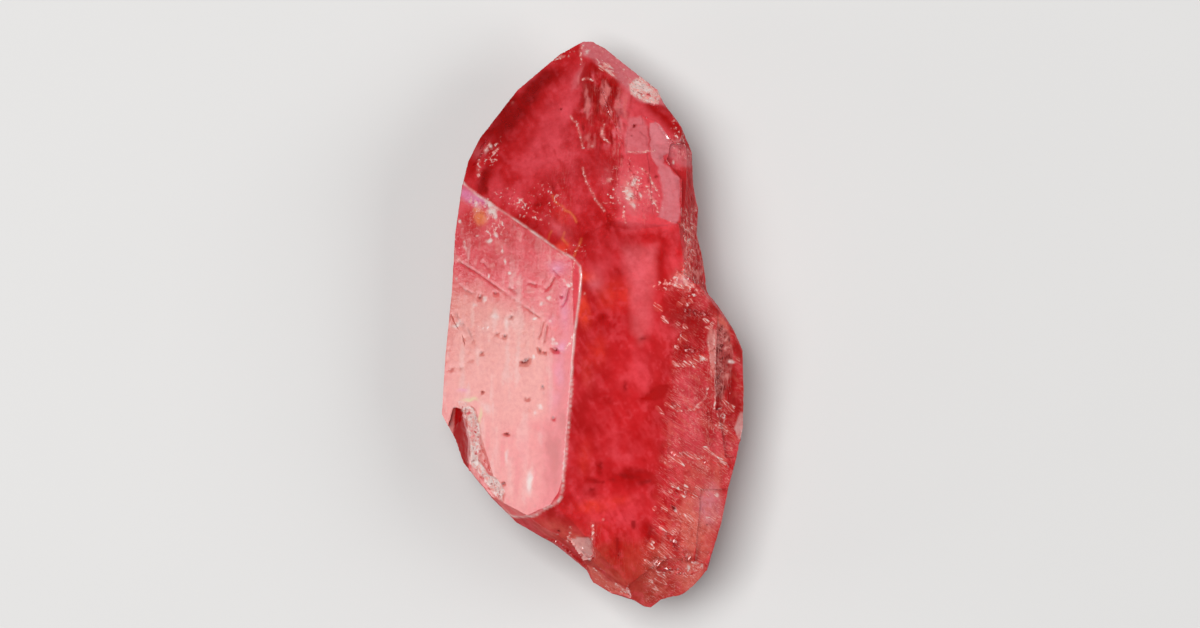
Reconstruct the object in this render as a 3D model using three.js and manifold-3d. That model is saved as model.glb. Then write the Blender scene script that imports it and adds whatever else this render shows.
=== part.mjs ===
// A rough pyroxmangite: one loose, see-through red crystal, 24 mm long, broken at its lower end.
// It lies on a flat cleavage. Millimetres; +Y points to the grown tip and +Z is up.
import * as THREE from 'three';
import { ConvexGeometry } from 'three/addons/geometries/ConvexGeometry.js';
import { mergeVertices } from 'three/addons/utils/BufferGeometryUtils.js';
import Module from 'manifold-3d';

// Driving dimensions
const CORNER_HEIGHT = 8.2; // the corner where the large front faces meet
const GIRDLE_LOW = 3.2; // the narrow band at the widest part of the crystal
const GIRDLE_HIGH = 4.0;
const WALL_LEAN = 0.3; // how far the broken walls lean in, above and below the band
const WALL_RISE = 4.6; // over this height
const SHOULDER = { at: [4.6, 1.5], turn: -0.7 }; // slanted end of the narrow part, above the right shoulder
const RIGHT_BEND_UP = { at: [3.18, -3.2], turn: 0 }; // the right side bends along this line
const RIGHT_BEND_DOWN = { at: [3.18, -3.2], turn: Math.PI };
const HACKLE_DEPTH = 0.14; // short torn marks on the broken faces
const REACH = 40; // size of a cutting block, well past the crystal
const CENTRE = new THREE.Vector3(0, 0, 4);

// The outline seen from above, clockwise from the tip
const OUTLINE = [
  [-0.4, 12.0], [0.15, 12.0], [0.9, 11.4], [1.5, 10.9], [2.75, 9.95], [3.0, 9.4], [3.75, 8.4], [4.2, 7.3],
  [4.25, 5.9], [4.45, 4.9], [4.4, 3.8], [4.65, 2.8], [4.85, 1.4], [5.3, 0.8], [6.0, -0.25], [6.35, -1.1],
  [6.4, -2.8], [6.37, -4.4], [6.05, -5.8], [5.75, -6.9], [5.45, -8.4], [5.15, -9.4], [4.85, -10.4],
  [4.3, -11.05], [3.8, -11.45], [2.9, -11.65], [2.45, -12.0], [2.15, -11.95], [1.75, -11.7], [0.8, -11.4],
  [0.0, -10.95], [-0.3, -10.4], [-1.5, -9.4], [-3.25, -8.4], [-4.3, -7.35], [-5.5, -5.85], [-5.85, -4.85],
  [-6.4, -3.8], [-6.25, -1.25], [-6.0, 1.3], [-5.85, 3.85], [-5.55, 5.9], [-5.3, 6.9], [-4.8, 7.9],
  [-4.4, 8.4], [-3.2, 9.95], [-1.4, 11.45],
];

// Each flat face is the plane through three points. Where it has a limit, it holds only beyond that line.
const corner = [-0.55, 2.48, CORNER_HEIGHT];
const ridgeFoot = [-1.31, -7.15, 7.4];
const apex = [-0.3, 11.9, 4.1];
const bend = [3.18, -3.2, 6.71];
const FRONT = {
  leftPrism: { points: [corner, ridgeFoot, [-6.2, -1.2, 4.15]] },
  middlePrism: { points: [corner, ridgeFoot, [3.18, 0, 7.04]] },
  leftTip: { points: [corner, [-5.43, 5.91, 4.89], apex] },
  rightTip: { points: [[0.62, 3.8, 8.05], apex, [3.9, 4.25, 7.3]] },
  cornerBevel: { points: [[-0.76, -0.23, 7.975], [-0.85, 2.48, 7.99], [-0.42, 2.4, 8.16]] },
  tipRim: { points: [[0.21, 11.03, 4.45], [1.65, 9.94, 4.78], [1.5, 10.9, 3.9]] },
  tipSide: { points: [[3.7, 6.8, 6.04], [3.95, 1.5, 7.0], [4.4, 4.4, 4.3]], limit: SHOULDER },
  rightPrismHigh: { points: [[4.54, 3.16, 7.03], bend, [6.3, -3.2, 4.43]], limit: RIGHT_BEND_UP },
  rightPrism: { points: [bend, [3.18, -11, 5.92], [6.3, -3.2, 4.43]], limit: RIGHT_BEND_DOWN },
  brokenFoot: { points: [[-1.31, -7.3, 7.4], [-3.2, -8.2, 6.05], [1.9, -10.9, 6.24]] },
  footSlope: { points: [[-0.6, -7.0, 7.24], [3.0, -10.6, 6.0], [-0.5, -8.9, 6.74]] },
  lipCorner: { points: [[-1.27, -6.76, 7.43], [-1.91, -7.7, 6.97], [-0.76, -8.29, 6.95]] },
  footRim: { points: [[-2.97, -8.05, 5.75], [0.28, -10.6, 5.3], [-1.6, -9.65, 4.0]] },
  footRight: { points: [[3.1, -9.9, 6.1], [4.6, -9.8, 5.1], [3.4, -11.4, 4.2]] },
};
const BACK = {
  leftUnder: { points: [[-6.2, 0, 3.3], [-6.2, -5, 3.1], [-3.9, 0, 0]] },
  leftUnderHigh: { points: [[-6.1, 4, 3.4], [-4.4, 8.4, 3.3], [-2.9, 4.5, 0]] },
  rightUnder: { points: [[6.4, -2, 3.3], [5.9, -8, 3.1], [4.2, -2, 0]] },
  rightUnderHigh: { points: [[4.9, 1.4, 3.5], [4.2, 7.3, 3.4], [3.1, 4, 0]], limit: SHOULDER },
  tipUnder: { points: [[-0.4, 12, 3.4], [2.75, 9.95, 3.2], [0.2, 7.9, 0]] },
  footUnder: { points: [[-4.3, -7.4, 3.0], [0.2, -11, 2.9], [-1.0, -7.9, 0]] },
  footUnderRight: { points: [[4.4, -11, 3.0], [1.8, -11.8, 2.9], [2.6, -9.4, 0]] },
};
const REST = { points: [[0, 0, 0], [1, 0, 0], [0, 1, 0]] };

const wasm = await Module();
wasm.setup();

/** A closed three.js geometry as a solid that can be cut and joined. */
function solidOf(geometry) {
  const bare = geometry.index ? geometry.toNonIndexed() : geometry.clone();
  bare.deleteAttribute('normal');
  bare.deleteAttribute('uv');
  const merged = mergeVertices(bare, 1e-4);
  const vertProperties = merged.attributes.position.array;
  const triVerts = new Uint32Array(merged.index.array);
  return new wasm.Manifold(new wasm.Mesh({ numProp: 3, vertProperties, triVerts }));
}

/** The solid's surface as a three.js geometry with flat faces. */
function geometryOf(solid) {
  const mesh = solid.getMesh();
  const shared = new THREE.BufferGeometry();
  shared.setAttribute('position', new THREE.BufferAttribute(new Float32Array(mesh.vertProperties), 3));
  shared.setIndex(new THREE.BufferAttribute(new Uint32Array(mesh.triVerts), 1));
  const flat = shared.toNonIndexed();
  flat.computeVertexNormals();
  return flat;
}

/** The plane through three points, turned to face away from the crystal's centre. */
function planeOf({ points }) {
  const plane = new THREE.Plane().setFromCoplanarPoints(...points.map((p) => new THREE.Vector3(...p)));
  return plane.distanceToPoint(CENTRE) > 0 ? plane.negate() : plane;
}

/** Height of a plane above the point x, y. */
function heightOn(plane, x, y) {
  return -(plane.normal.x * x + plane.normal.y * y + plane.constant) / plane.normal.z;
}

/** Cuts off all that lies outside a face. A face with a limit cuts only on the far side of that line. */
function cleave(solid, face) {
  const plane = planeOf(face);
  const block = new THREE.BoxGeometry(REACH, REACH, REACH).translate(0, 0, REACH / 2);
  block.applyQuaternion(new THREE.Quaternion().setFromUnitVectors(new THREE.Vector3(0, 0, 1), plane.normal));
  block.translate(...plane.coplanarPoint(new THREE.Vector3()).toArray());
  if (!face.limit) return solid.subtract(solidOf(block));
  const limit = new THREE.BoxGeometry(REACH, REACH, REACH).translate(0, REACH / 2, 0);
  limit.rotateZ(face.limit.turn).translate(...face.limit.at, 0);
  return solid.subtract(solidOf(block).intersect(solidOf(limit)));
}

/** Cuts a step: all beyond a sunken copy of a face, within a convex patch [x, y, drop] seen from above. */
function step(solid, { face, patch }) {
  const plane = planeOf(face);
  const outward = Math.sign(plane.normal.z);
  const floor = patch.map(([x, y, drop]) => new THREE.Vector3(x, y, heightOn(plane, x, y) - outward * drop));
  const sky = patch.map(([x, y]) => new THREE.Vector3(x, y, heightOn(plane, x, y) + outward * 2));
  return solid.subtract(solidOf(new ConvexGeometry([...floor, ...sky])));
}

/** A lens with pointed ends, laid on a plane at x, y, its long axis turned by angle from +X. */
function lens(plane, x, y, { angle, length, width, depth }) {
  const along = new THREE.Vector3(Math.cos(angle), Math.sin(angle), 0);
  const across = new THREE.Vector3().crossVectors(plane.normal, along).normalize();
  along.crossVectors(across, plane.normal);
  const shape = new THREE.OctahedronGeometry(1).scale(length / 2, width / 2, depth);
  shape.applyMatrix4(new THREE.Matrix4().makeBasis(along, across, plane.normal));
  return solidOf(shape.translate(x, y, heightOn(plane, x, y)));
}

/** A repeatable number from 0 to 1 for each pair of counters. */
function spread(i, j) {
  const turned = Math.sin(i * 12.9898 + j * 78.233) * 43758.5453;
  return turned - Math.floor(turned);
}

/** Cuts a row of short notches along a line on a face, each turned and sized a little differently. */
function notchRow(solid, { face, from, to, count, angle, length, width }, row) {
  const plane = planeOf(face);
  const cutters = Array.from({ length: count }, (_, i) => {
    const t = (i + 0.5 * spread(i, row)) / count;
    const x = THREE.MathUtils.lerp(from[0], to[0], t) + 0.12 * (spread(i, row + 1) - 0.5);
    const y = THREE.MathUtils.lerp(from[1], to[1], t) + 0.2 * (spread(i, row + 2) - 0.5);
    const turn = angle + 0.5 * (spread(i, row + 3) - 0.5);
    const size = 0.7 + 0.6 * spread(i, row + 4);
    const shape = { angle: turn, length: length * size, width: width * size, depth: HACKLE_DEPTH };
    return lens(plane, x, y, shape);
  });
  return cutters.reduce((cut, cutter) => cut.subtract(cutter), solid);
}

/** The block inside the outline, widest at the band and leaning in above and below it. */
function roughBlock() {
  const outline = new THREE.Shape(OUTLINE.map((p) => new THREE.Vector2(...p)));
  const block = new THREE.ExtrudeGeometry(outline, {
    depth: GIRDLE_HIGH - GIRDLE_LOW,
    bevelThickness: WALL_RISE,
    bevelSize: WALL_LEAN,
    bevelOffset: -WALL_LEAN,
    bevelSegments: 1,
    curveSegments: 1,
  });
  return solidOf(block.translate(0, 0, GIRDLE_LOW));
}

// Steps where cleavage has taken flakes off the large faces: patches of [x, y, drop], seen from above
const CHIP_STEPS = [
  [[-5.9, -3.5, 0.3], [-5.45, -3.6, 0.45], [-5.2, -4.5, 0.6], [-5.15, -6.2, 0.8], [-6.5, -5.6, 0.9]],
  [[-5.4, -3.5, 0.1], [-4.95, -3.9, 0.02], [-4.9, -5.4, 0.03], [-4.0, -7.0, 0.04], [-5.3, -6.8, 0.2]],
];
const TIP_STEPS = [
  [[2.05, 8.8, 0.05], [2.65, 8.55, 0.1], [3.45, 7.5, 0.28], [2.95, 7.0, 0.3], [2.3, 6.9, 0.12]],
  [[2.3, 7.3, 0.12], [3.05, 6.9, 0.26], [3.7, 6.3, 0.34], [3.7, 4.2, 0.34], [2.5, 4.6, 0.05]],
  [[1.45, 8.4, 0.02], [2.3, 8.4, 0.1], [2.3, 7.2, 0.12], [1.4, 7.2, 0.04]],
  [[3.3, 7.6, 0.5], [3.1, 6.9, 0.6], [3.7, 6.1, 0.8], [4.6, 6.1, 1.2], [4.4, 7.6, 1.0]],
  [[3.7, 6.3, 0.8], [3.72, 4.25, 0.7], [4.6, 4.0, 1.3], [4.6, 6.3, 1.3]],
];
const SHOULDER_STEPS = [
  [[5.25, 0.6, 0.12], [5.15, -2.6, 0.35], [5.6, -5.6, 0.2], [6.8, -5.6, 0.4], [6.8, 0.6, 0.3]],
  [[5.2, -0.6, 0.3], [5.2, -3.6, 0.75], [5.75, -3.4, 0.5], [5.85, -0.9, 0.3]],
];
const LOWER_RIGHT_STEP = [[4.55, -6.95, 0.2], [4.3, -10.3, 0.24], [5.8, -10.2, 0.34], [6.2, -6.95, 0.3]];
const FOOT_STEP = [[-1.03, -8.9, 0.05], [-0.06, -8.9, 0.16], [-0.02, -9.65, 0.16], [-0.25, -9.85, 0.14]];
const HIDDEN_STEPS = {
  leftUnder: [[-6.0, -0.5, 0.3], [-4.6, -0.7, 0.25], [-4.4, -3.9, 0.25], [-5.9, -4.4, 0.3]],
  leftUnderHigh: [[-5.2, 6.6, 0.3], [-3.6, 6.9, 0.2], [-3.3, 4.2, 0.25], [-5.4, 3.9, 0.3]],
  rightUnder: [[6.3, -4.2, 0.3], [4.8, -4.4, 0.25], [4.7, -8.3, 0.2], [6.0, -8.1, 0.3]],
  footUnder: [[-3.2, -7.9, 0.25], [-1.8, -7.7, 0.2], [-0.5, -9.3, 0.2], [-1.6, -9.5, 0.25]],
};

/** Cuts all the steps. */
function cutSteps(solid) {
  const steps = [
    ...CHIP_STEPS.map((patch) => ({ face: FRONT.leftPrism, patch })),
    ...TIP_STEPS.map((patch) => ({ face: FRONT.rightTip, patch })),
    ...SHOULDER_STEPS.map((patch) => ({ face: FRONT.rightPrismHigh, patch })),
    { face: FRONT.rightPrism, patch: LOWER_RIGHT_STEP },
    { face: FRONT.brokenFoot, patch: FOOT_STEP },
    ...Object.entries(HIDDEN_STEPS).map(([name, patch]) => ({ face: BACK[name], patch })),
  ];
  return steps.reduce(step, solid);
}

// Torn marks, crushed edges and pits: rows of short notches on a face
const SLANTING = -0.6;
const UPRIGHT = -1.4;
const NOTCH_ROWS = {
  rightPrismHigh: [
    { from: [4.1, 0.6], to: [5.2, 0.2], count: 8, angle: SLANTING, length: 0.5, width: 0.14 },
    { from: [3.9, -1.0], to: [4.9, -1.3], count: 7, angle: SLANTING, length: 0.5, width: 0.14 },
  ],
  rightPrism: [
    { from: [3.4, -3.4], to: [5.0, -3.7], count: 8, angle: SLANTING, length: 0.5, width: 0.14 },
    { from: [3.3, -5.4], to: [5.9, -6.0], count: 14, angle: SLANTING, length: 0.7, width: 0.16 },
    { from: [3.5, -7.0], to: [5.2, -7.4], count: 7, angle: SLANTING, length: 0.5, width: 0.14 },
    { from: [3.3, -9.0], to: [4.2, -10.0], count: 6, angle: SLANTING, length: 0.7, width: 0.14 },
  ],
  middlePrism: [
    { from: [3.9, 3.6], to: [4.2, 2.4], count: 5, angle: 0.3, length: 0.45, width: 0.22 },
  ],
  footSlope: [
    { from: [2.4, -9.6], to: [3.1, -10.4], count: 4, angle: SLANTING, length: 0.8, width: 0.14 },
  ],
  footRight: [
    { from: [2.9, -10.4], to: [4.3, -10.6], count: 6, angle: SLANTING, length: 0.5, width: 0.16 },
  ],
  rightTip: [
    { from: [0.5, 9.6], to: [1.3, 7.6], count: 6, angle: UPRIGHT, length: 1.2, width: 0.18 },
    { from: [1.9, 10.1], to: [2.8, 9.2], count: 7, angle: 0.5, length: 0.45, width: 0.3 },
    { from: [1.5, 6.9], to: [2.0, 5.2], count: 5, angle: UPRIGHT, length: 0.7, width: 0.14 },
  ],
  leftPrism: [
    { from: [-5.0, -4.4], to: [-4.1, -7.1], count: 8, angle: -1.1, length: 0.4, width: 0.2 },
    { from: [-6.0, 0.3], to: [-5.4, -0.8], count: 3, angle: -1.0, length: 0.6, width: 0.1 },
  ],
  leftTip: [
    { from: [-5.0, 6.8], to: [-4.5, 8.0], count: 5, angle: 0.9, length: 0.4, width: 0.16 },
  ],
  leftUnder: [
    { from: [-5.2, 2.0], to: [-4.8, -4.0], count: 7, angle: 0.9, length: 0.8, width: 0.25 },
  ],
  rightUnder: [
    { from: [5.2, 0.0], to: [5.0, -6.0], count: 7, angle: -0.7, length: 0.8, width: 0.25 },
  ],
  rightUnderHigh: [
    { from: [4.2, 5.8], to: [4.0, 2.4], count: 5, angle: -0.7, length: 0.7, width: 0.25 },
  ],
  footUnder: [
    { from: [-2.6, -7.4], to: [0.0, -9.8], count: 5, angle: 0.4, length: 0.7, width: 0.25 },
  ],
  tipUnder: [
    { from: [-0.4, 10.4], to: [1.6, 9.2], count: 5, angle: 0.2, length: 0.7, width: 0.25 },
  ],
};

/** Cuts all the rows of notches. */
function cutNotches(solid) {
  const faces = { ...FRONT, ...BACK };
  const rowsOn = ([name, list]) => list.map((row) => ({ face: faces[name], ...row }));
  const rows = Object.entries(NOTCH_ROWS).flatMap(rowsOn);
  return rows.reduce((cut, row, i) => notchRow(cut, row, 5 * i), solid);
}

/** The crystal: a rough block cleaved to its faces, then stepped and notched. */
function makeCrystal() {
  const faces = [...Object.values(FRONT), ...Object.values(BACK), REST];
  const cleaved = faces.reduce(cleave, roughBlock());
  const geometry = geometryOf(cutNotches(cutSteps(cleaved)));
  const material = new THREE.MeshStandardMaterial({ color: 0xc8323c, roughness: 0.12, metalness: 0 });
  const mesh = new THREE.Mesh(geometry, material);
  mesh.name = 'crystal';
  return mesh;
}

const pyroxmangite = new THREE.Group();
pyroxmangite.add(makeCrystal());

export default pyroxmangite;
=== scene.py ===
"""Rough pyroxmangite: the looks of one loose red crystal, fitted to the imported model."""

import itertools
import math

import bpy
import numpy as np
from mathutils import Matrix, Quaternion, Vector
from mathutils.geometry import delaunay_2d_cdt


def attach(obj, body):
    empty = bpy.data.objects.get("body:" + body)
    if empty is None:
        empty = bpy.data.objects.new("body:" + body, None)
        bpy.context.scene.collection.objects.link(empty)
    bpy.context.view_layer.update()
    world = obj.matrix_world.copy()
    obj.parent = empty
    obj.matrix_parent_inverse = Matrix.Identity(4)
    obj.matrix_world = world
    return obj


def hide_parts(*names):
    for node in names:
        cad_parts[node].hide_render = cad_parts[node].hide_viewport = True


bl_info = {
    "name": "Rough Pyroxmangite",
    "version": (1, 0, 0),
    "blender": (4, 5, 0),
    "location": "View3D > Sidebar > Pyroxmangite",
    "description": "Builds a rough red gem crystal and the small studio that it lies in",
    "category": "Add Mesh",
}

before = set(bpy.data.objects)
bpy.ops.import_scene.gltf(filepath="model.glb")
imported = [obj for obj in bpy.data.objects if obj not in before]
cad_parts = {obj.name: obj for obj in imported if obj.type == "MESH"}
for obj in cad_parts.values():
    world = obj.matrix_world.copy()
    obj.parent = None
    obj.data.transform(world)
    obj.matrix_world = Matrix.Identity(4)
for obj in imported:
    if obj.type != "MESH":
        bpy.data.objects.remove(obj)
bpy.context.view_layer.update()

MM = 0.001
PHOTO_SIZE = (1200, 628)
PHOTO_ORIGIN = (593.0, 324.5)  # the photograph's pixel that lies over the crystal's origin
MM_PER_PIXEL = 0.0424
GIRDLE = 3.6  # height in mm of the crystal's widest part

# Directions, in degrees from +X
FEATHER_ANGLE = -36.0  # the torn side's ridges, down to the right
UPRIGHT_ANGLE = 88.0  # the tip's columns and the ribs

SAME_PLACE = 1e-3  # points nearer than this, in mm, are one
SLIVER = 1e-4  # least doubled area of a kept triangle, as a share of its longest side squared
FLAT_ANGLE = 1.0  # triangles that turn by less, in degrees, are one flat face
SHARP_ANGLE = 24.0  # edges that turn by more, in degrees, stay sharp
LEAN = 0.7  # how far the normals of steep front faces lean up
GLINT_WIDTH = 0.1  # half width of a glint in mm, at its middle

# Sizes of the material's noise, in cells per metre
GRAIN_SCALE = 5200.0
FLECK_SCALE = 6000.0
TUFT_SCALE = 1100.0

# Colours, in linear light
BODY = (0.69, 0.018, 0.024)
CRIMSON = (0.46, 0.0005, 0.001)
GARNET = (0.29, 0.0002, 0.0004)
WINE = (0.16, 0.0005, 0.001)
RUST = (0.55, 0.06, 0.035)
CORAL = (1.0, 0.06, 0.03)
AMBER = (1.0, 0.24, 0.08)
ROSE = (0.97, 0.10, 0.13)
SALMON = (0.93, 0.19, 0.14)
SHELL = (1.0, 0.42, 0.38)
DUSK = (0.92, 0.29, 0.33)
VIOLET = (0.95, 0.28, 0.5)
UMBER = (0.5, 0.11, 0.1)
# Frost white: white specks and crushed grains, and also the painted glints and sparkles, painted highlights
FROST_AND_GLINT = (1.0, 0.85, 0.8)
LIME = (0.75, 0.75, 0.3)
# Milk: the left face's milky colour, lightened to stand in partly for its sheen, a painted reflection
MILK_AND_SHEEN = (1.0, 0.34, 0.29)
PINK = (1.0, 0.2, 0.24)

# Outlines, as pixels of the photograph
LEFT_FACE = (
    (456, 180), (465, 185), (520, 224), (573, 261), (581, 268), (582, 274), (577, 318), (571, 400),
    (562, 492), (556, 501), (546, 507), (536, 514), (518, 517), (500, 522), (440, 430), (440, 300),
)
# The left face's milky part: partly its own milky colour and partly painted sheen, a painted reflection
MILKY_SHEEN_PART = (
    (440, 285), (475, 290), (505, 300), (540, 318), (552, 345), (556, 400), (548, 440), (545, 480),
    (535, 512), (500, 520), (440, 430),
)
TIP_COLUMNS = (
    (580, 70), (600, 76), (622, 86), (634, 108), (626, 125), (618, 140), (606, 150), (592, 140),
    (582, 110),
)
CRINKLED_STRIP = (
    (683, 212), (697, 205), (705, 262), (708, 300), (690, 296), (668, 290), (672, 275), (684, 262),
)
TIP_WALL = ((662, 140), (700, 140), (712, 200), (716, 290), (690, 292), (676, 230), (678, 180))
TORN_SIDE = (
    (662, 285), (712, 296), (748, 345), (745, 430), (722, 520), (700, 590), (648, 612), (640, 560),
    (656, 520), (662, 450), (668, 400), (676, 350),
)
DARK_GROOVE = (
    (717, 322), (727, 330), (733, 352), (731, 372), (724, 392), (721, 402), (716, 392), (714, 360),
    (716, 345),
)
CRUSHED_RIM = (
    (458, 401), (467, 403), (475, 411), (480, 424), (481, 446), (480, 460), (488, 473), (498, 478),
    (505, 489), (502, 500), (492, 490), (480, 474), (470, 462), (470, 440), (466, 418),
)
CHIP = ((455, 407), (463, 410), (467, 424), (470, 436), (471, 455), (468, 470), (452, 440), (454, 425))
APEX_CRUSH = ((629, 84), (640, 78), (652, 84), (661, 96), (657, 104), (644, 102), (632, 95))
APEX_RIM = (
    (580, 44), (592, 38), (612, 46), (630, 62), (668, 96), (676, 112), (660, 105), (640, 103), (628, 92),
    (615, 77), (600, 66), (590, 59), (582, 56),
)

# Soft ovals: each one's pixel, half length and half width in mm, angle in degrees and strength
DEEP_OVALS = (
    ((714, 306), 0.45, 0.22, -50, 0.9), ((655, 391), 0.55, 0.25, 20, 1.0), ((600, 90), 0.5, 0.8, 0, 0.6),
    ((512, 116), 1.35, 0.55, 45, 1.0), ((545, 84), 1.2, 0.3, 38, 0.75), ((487, 176), 0.28, 0.8, -8, 0.8),
    ((471, 172), 0.25, 0.4, -20, 0.7), ((532, 226), 0.9, 0.3, -32, 0.6), ((592, 72), 0.42, 0.4, -20, 1.0),
    ((612, 84), 0.5, 0.28, -30, 0.9), ((660, 118), 1.0, 0.28, -42, 0.9), ((676, 132), 0.35, 0.5, 20, 0.7),
    ((659, 265), 0.26, 1.3, 0, 0.8), ((676, 310), 0.9, 0.9, 20, 0.9), ((692, 325), 0.7, 0.7, 0, 0.9),
    ((683, 345), 0.5, 0.7, 0, 0.7), ((668, 368), 0.5, 0.4, 0, 0.5), ((604, 317), 0.26, 0.2, 20, 0.8),
    ((621, 272), 0.3, 0.3, 0, 0.5), ((643, 338), 0.3, 0.14, 20, 0.7), ((628, 385), 0.3, 0.5, 0, 0.3),
    ((600, 395), 0.8, 0.4, 0, 0.4), ((590, 425), 1.0, 0.35, 0, 0.5), ((640, 440), 1.0, 0.9, 0, 0.5),
    ((628, 475), 0.95, 0.32, -6, 0.9), ((600, 466), 0.16, 0.4, 10, 0.7),
    ((592, 477), 0.4, 0.14, -20, 0.7), ((593, 490), 0.25, 0.2, 0, 0.5), ((652, 532), 0.8, 0.4, -40, 0.9),
    ((618, 548), 0.5, 0.9, 0, 0.5), ((661, 448), 0.2, 0.6, 0, 0.6), ((730, 385), 0.25, 1.0, 4, 1.0),
    ((739, 352), 0.2, 0.5, 15, 0.9), ((736, 405), 0.25, 0.5, 0, 0.5), ((587, 240), 0.6, 0.35, 20, 0.6),
    ((625, 240), 1.2, 0.35, 5, 0.35),
)
DARKEST_OVALS = (
    ((503, 120), 1.5, 0.68, 47, 1.0), ((533, 91), 1.2, 0.42, 40, 1.0), ((483, 180), 0.2, 0.6, -8, 0.8),
    ((592, 76), 0.3, 0.3, 0, 0.8), ((613, 88), 0.35, 0.2, -30, 0.7), ((654, 391), 0.5, 0.18, 20, 0.5),
    ((636, 470), 0.7, 0.14, -8, 0.5), ((655, 530), 0.6, 0.2, -40, 0.4), ((730, 388), 0.18, 0.8, 4, 0.8),
    ((682, 318), 0.6, 0.5, 0, 0.8), ((706, 312), 0.3, 0.3, 0, 0.6), ((666, 112), 0.5, 0.14, -42, 0.6),
)

# Clouds: each colour and its ovals, written in the same way
CLOUDS = (
    (CORAL, (
        ((590, 277), 0.55, 0.3, -10, 0.8), ((586, 311), 0.32, 0.6, 10, 1.0),
        ((566, 247), 0.35, 0.28, 0, 0.9), ((600, 350), 0.5, 0.8, 0, 0.4), ((615, 295), 0.8, 0.8, 0, 0.45),
        ((590, 372), 0.3, 0.7, 10, 0.35), ((585, 455), 0.4, 0.9, 0, 0.35),
        ((590, 505), 0.9, 0.35, 0, 0.6), ((615, 497), 0.9, 0.3, 0, 0.4), ((562, 215), 0.5, 0.5, 0, 0.35),
    )),
    (ROSE, (
        ((570, 160), 1.0, 0.9, 0, 0.45), ((534, 165), 0.8, 1.0, 40, 0.4),
        ((512, 200), 0.8, 0.5, -30, 0.6), ((556, 130), 0.6, 1.2, -20, 0.35),
        ((638, 285), 0.42, 1.3, 0, 0.65), ((640, 370), 0.42, 1.0, 0, 0.55),
        ((660, 200), 0.5, 1.0, 0, 0.6), ((690, 420), 0.55, 2.2, 2, 0.75), ((676, 440), 0.4, 1.2, 0, 0.5),
        ((636, 188), 0.6, 1.2, 0, 1.0), ((618, 150), 0.3, 0.8, 0, 0.3), ((632, 232), 1.0, 0.3, -5, 0.25),
        ((672, 240), 0.35, 0.9, 0, 0.4), ((620, 244), 1.1, 0.35, 5, 0.4), ((692, 160), 0.2, 1.2, 4, 0.4),
        ((715, 455), 0.5, 0.8, 0, 0.4), ((552, 150), 1.2, 1.5, -20, 0.6),
        ((566, 115), 0.3, 1.3, -24, 0.75), ((575, 170), 0.5, 1.2, 0, 0.4), ((605, 265), 0.8, 0.8, 0, 0.3),
        ((628, 120), 0.25, 1.6, -4, 0.8), ((622, 170), 0.2, 1.6, 4, 0.8),
    )),
    (SALMON, (
        ((577, 537), 1.5, 0.4, -38, 0.6), ((612, 575), 1.0, 0.35, -35, 0.6),
        ((698, 520), 0.8, 1.6, -8, 1.0), ((700, 470), 0.8, 0.8, 0, 0.5), ((716, 480), 0.3, 1.4, -12, 0.6),
        ((690, 575), 0.9, 0.9, 0, 0.7), ((560, 530), 1.2, 0.6, -35, 0.55),
        ((600, 560), 0.8, 0.8, -30, 0.5), ((648, 590), 1.0, 0.6, 0, 0.5), ((706, 545), 0.5, 1.0, 0, 0.5),
        ((684, 280), 0.7, 0.35, 5, 0.7), ((720, 325), 0.9, 0.25, -55, 0.5),
    )),
    (RUST, (
        ((622, 560), 1.4, 1.1, -20, 0.75), ((650, 590), 1.0, 0.7, 0, 0.8), ((652, 562), 0.7, 0.7, 0, 0.9),
        ((600, 525), 0.9, 0.3, -10, 0.3), ((655, 545), 0.5, 0.8, 0, 0.4),
    )),
    (PINK, (
        ((598, 282), 0.4, 0.6, 0, 0.5), ((560, 228), 0.8, 0.35, -30, 0.4), ((594, 380), 0.4, 0.5, 0, 0.2))),
    # The shell ovals are the pale glow of the tip's sparkling cluster, a painted highlight
    (SHELL, (
        ((632, 191), 0.26, 0.7, 8, 0.8), ((645, 195), 0.2, 0.4, -30, 0.4),
        ((640, 178), 0.15, 0.3, -30, 0.4),
    )),
    (DUSK, (
        ((709, 503), 0.55, 0.9, 0, 0.95), ((628, 135), 0.35, 0.7, 0, 0.35),
        ((623, 108), 0.2, 0.6, -10, 0.6), ((676, 152), 0.3, 0.5, 0, 0.5),
        ((606, 98), 0.16, 0.35, 10, 0.6), ((589, 105), 0.14, 0.35, 0, 0.6),
        ((626, 108), 0.25, 0.9, -8, 0.7), ((478, 150), 0.35, 0.4, 0, 0.35),
        ((634, 192), 0.35, 0.7, 10, 0.7), ((684, 282), 0.55, 0.2, 5, 0.7),
    )),
    (CRIMSON, DEEP_OVALS),
    (GARNET, DARKEST_OVALS),
)

# Ovals where painted sparkles go, painted highlights, and where it's ribbed up and down, written in the same
# way
SPARKLES = (
    ((636, 190), 0.42, 0.95, 5, 0.55), ((630, 196), 0.2, 0.5, 8, 0.8), ((521, 207), 1.3, 0.4, -32, 0.5),
    ((548, 200), 1.0, 0.9, -30, 0.3), ((490, 155), 0.35, 0.7, -35, 0.55), ((560, 58), 0.8, 0.16, 32, 0.3),
    ((606, 68), 0.5, 0.12, -30, 0.7), ((483, 208), 0.9, 0.35, -33, 0.75),
    ((495, 228), 0.7, 0.6, -30, 0.5), ((682, 140), 0.4, 0.9, 20, 0.5), ((676, 283), 1.0, 0.22, 4, 0.85),
    ((692, 290), 0.5, 0.3, 0, 0.6), ((700, 566), 0.7, 0.3, 10, 0.6), ((620, 594), 1.0, 0.12, -25, 0.55),
    ((596, 575), 0.6, 0.12, -35, 0.5), ((612, 190), 0.5, 1.2, 0, 0.35), ((575, 250), 0.5, 0.4, 0, 0.4),
    ((720, 420), 0.3, 0.6, -20, 0.5), ((485, 330), 0.6, 0.4, 0, 0.35), ((550, 300), 0.4, 0.6, 0, 0.3),
    ((655, 200), 0.4, 0.7, 0, 0.35),
)
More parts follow.
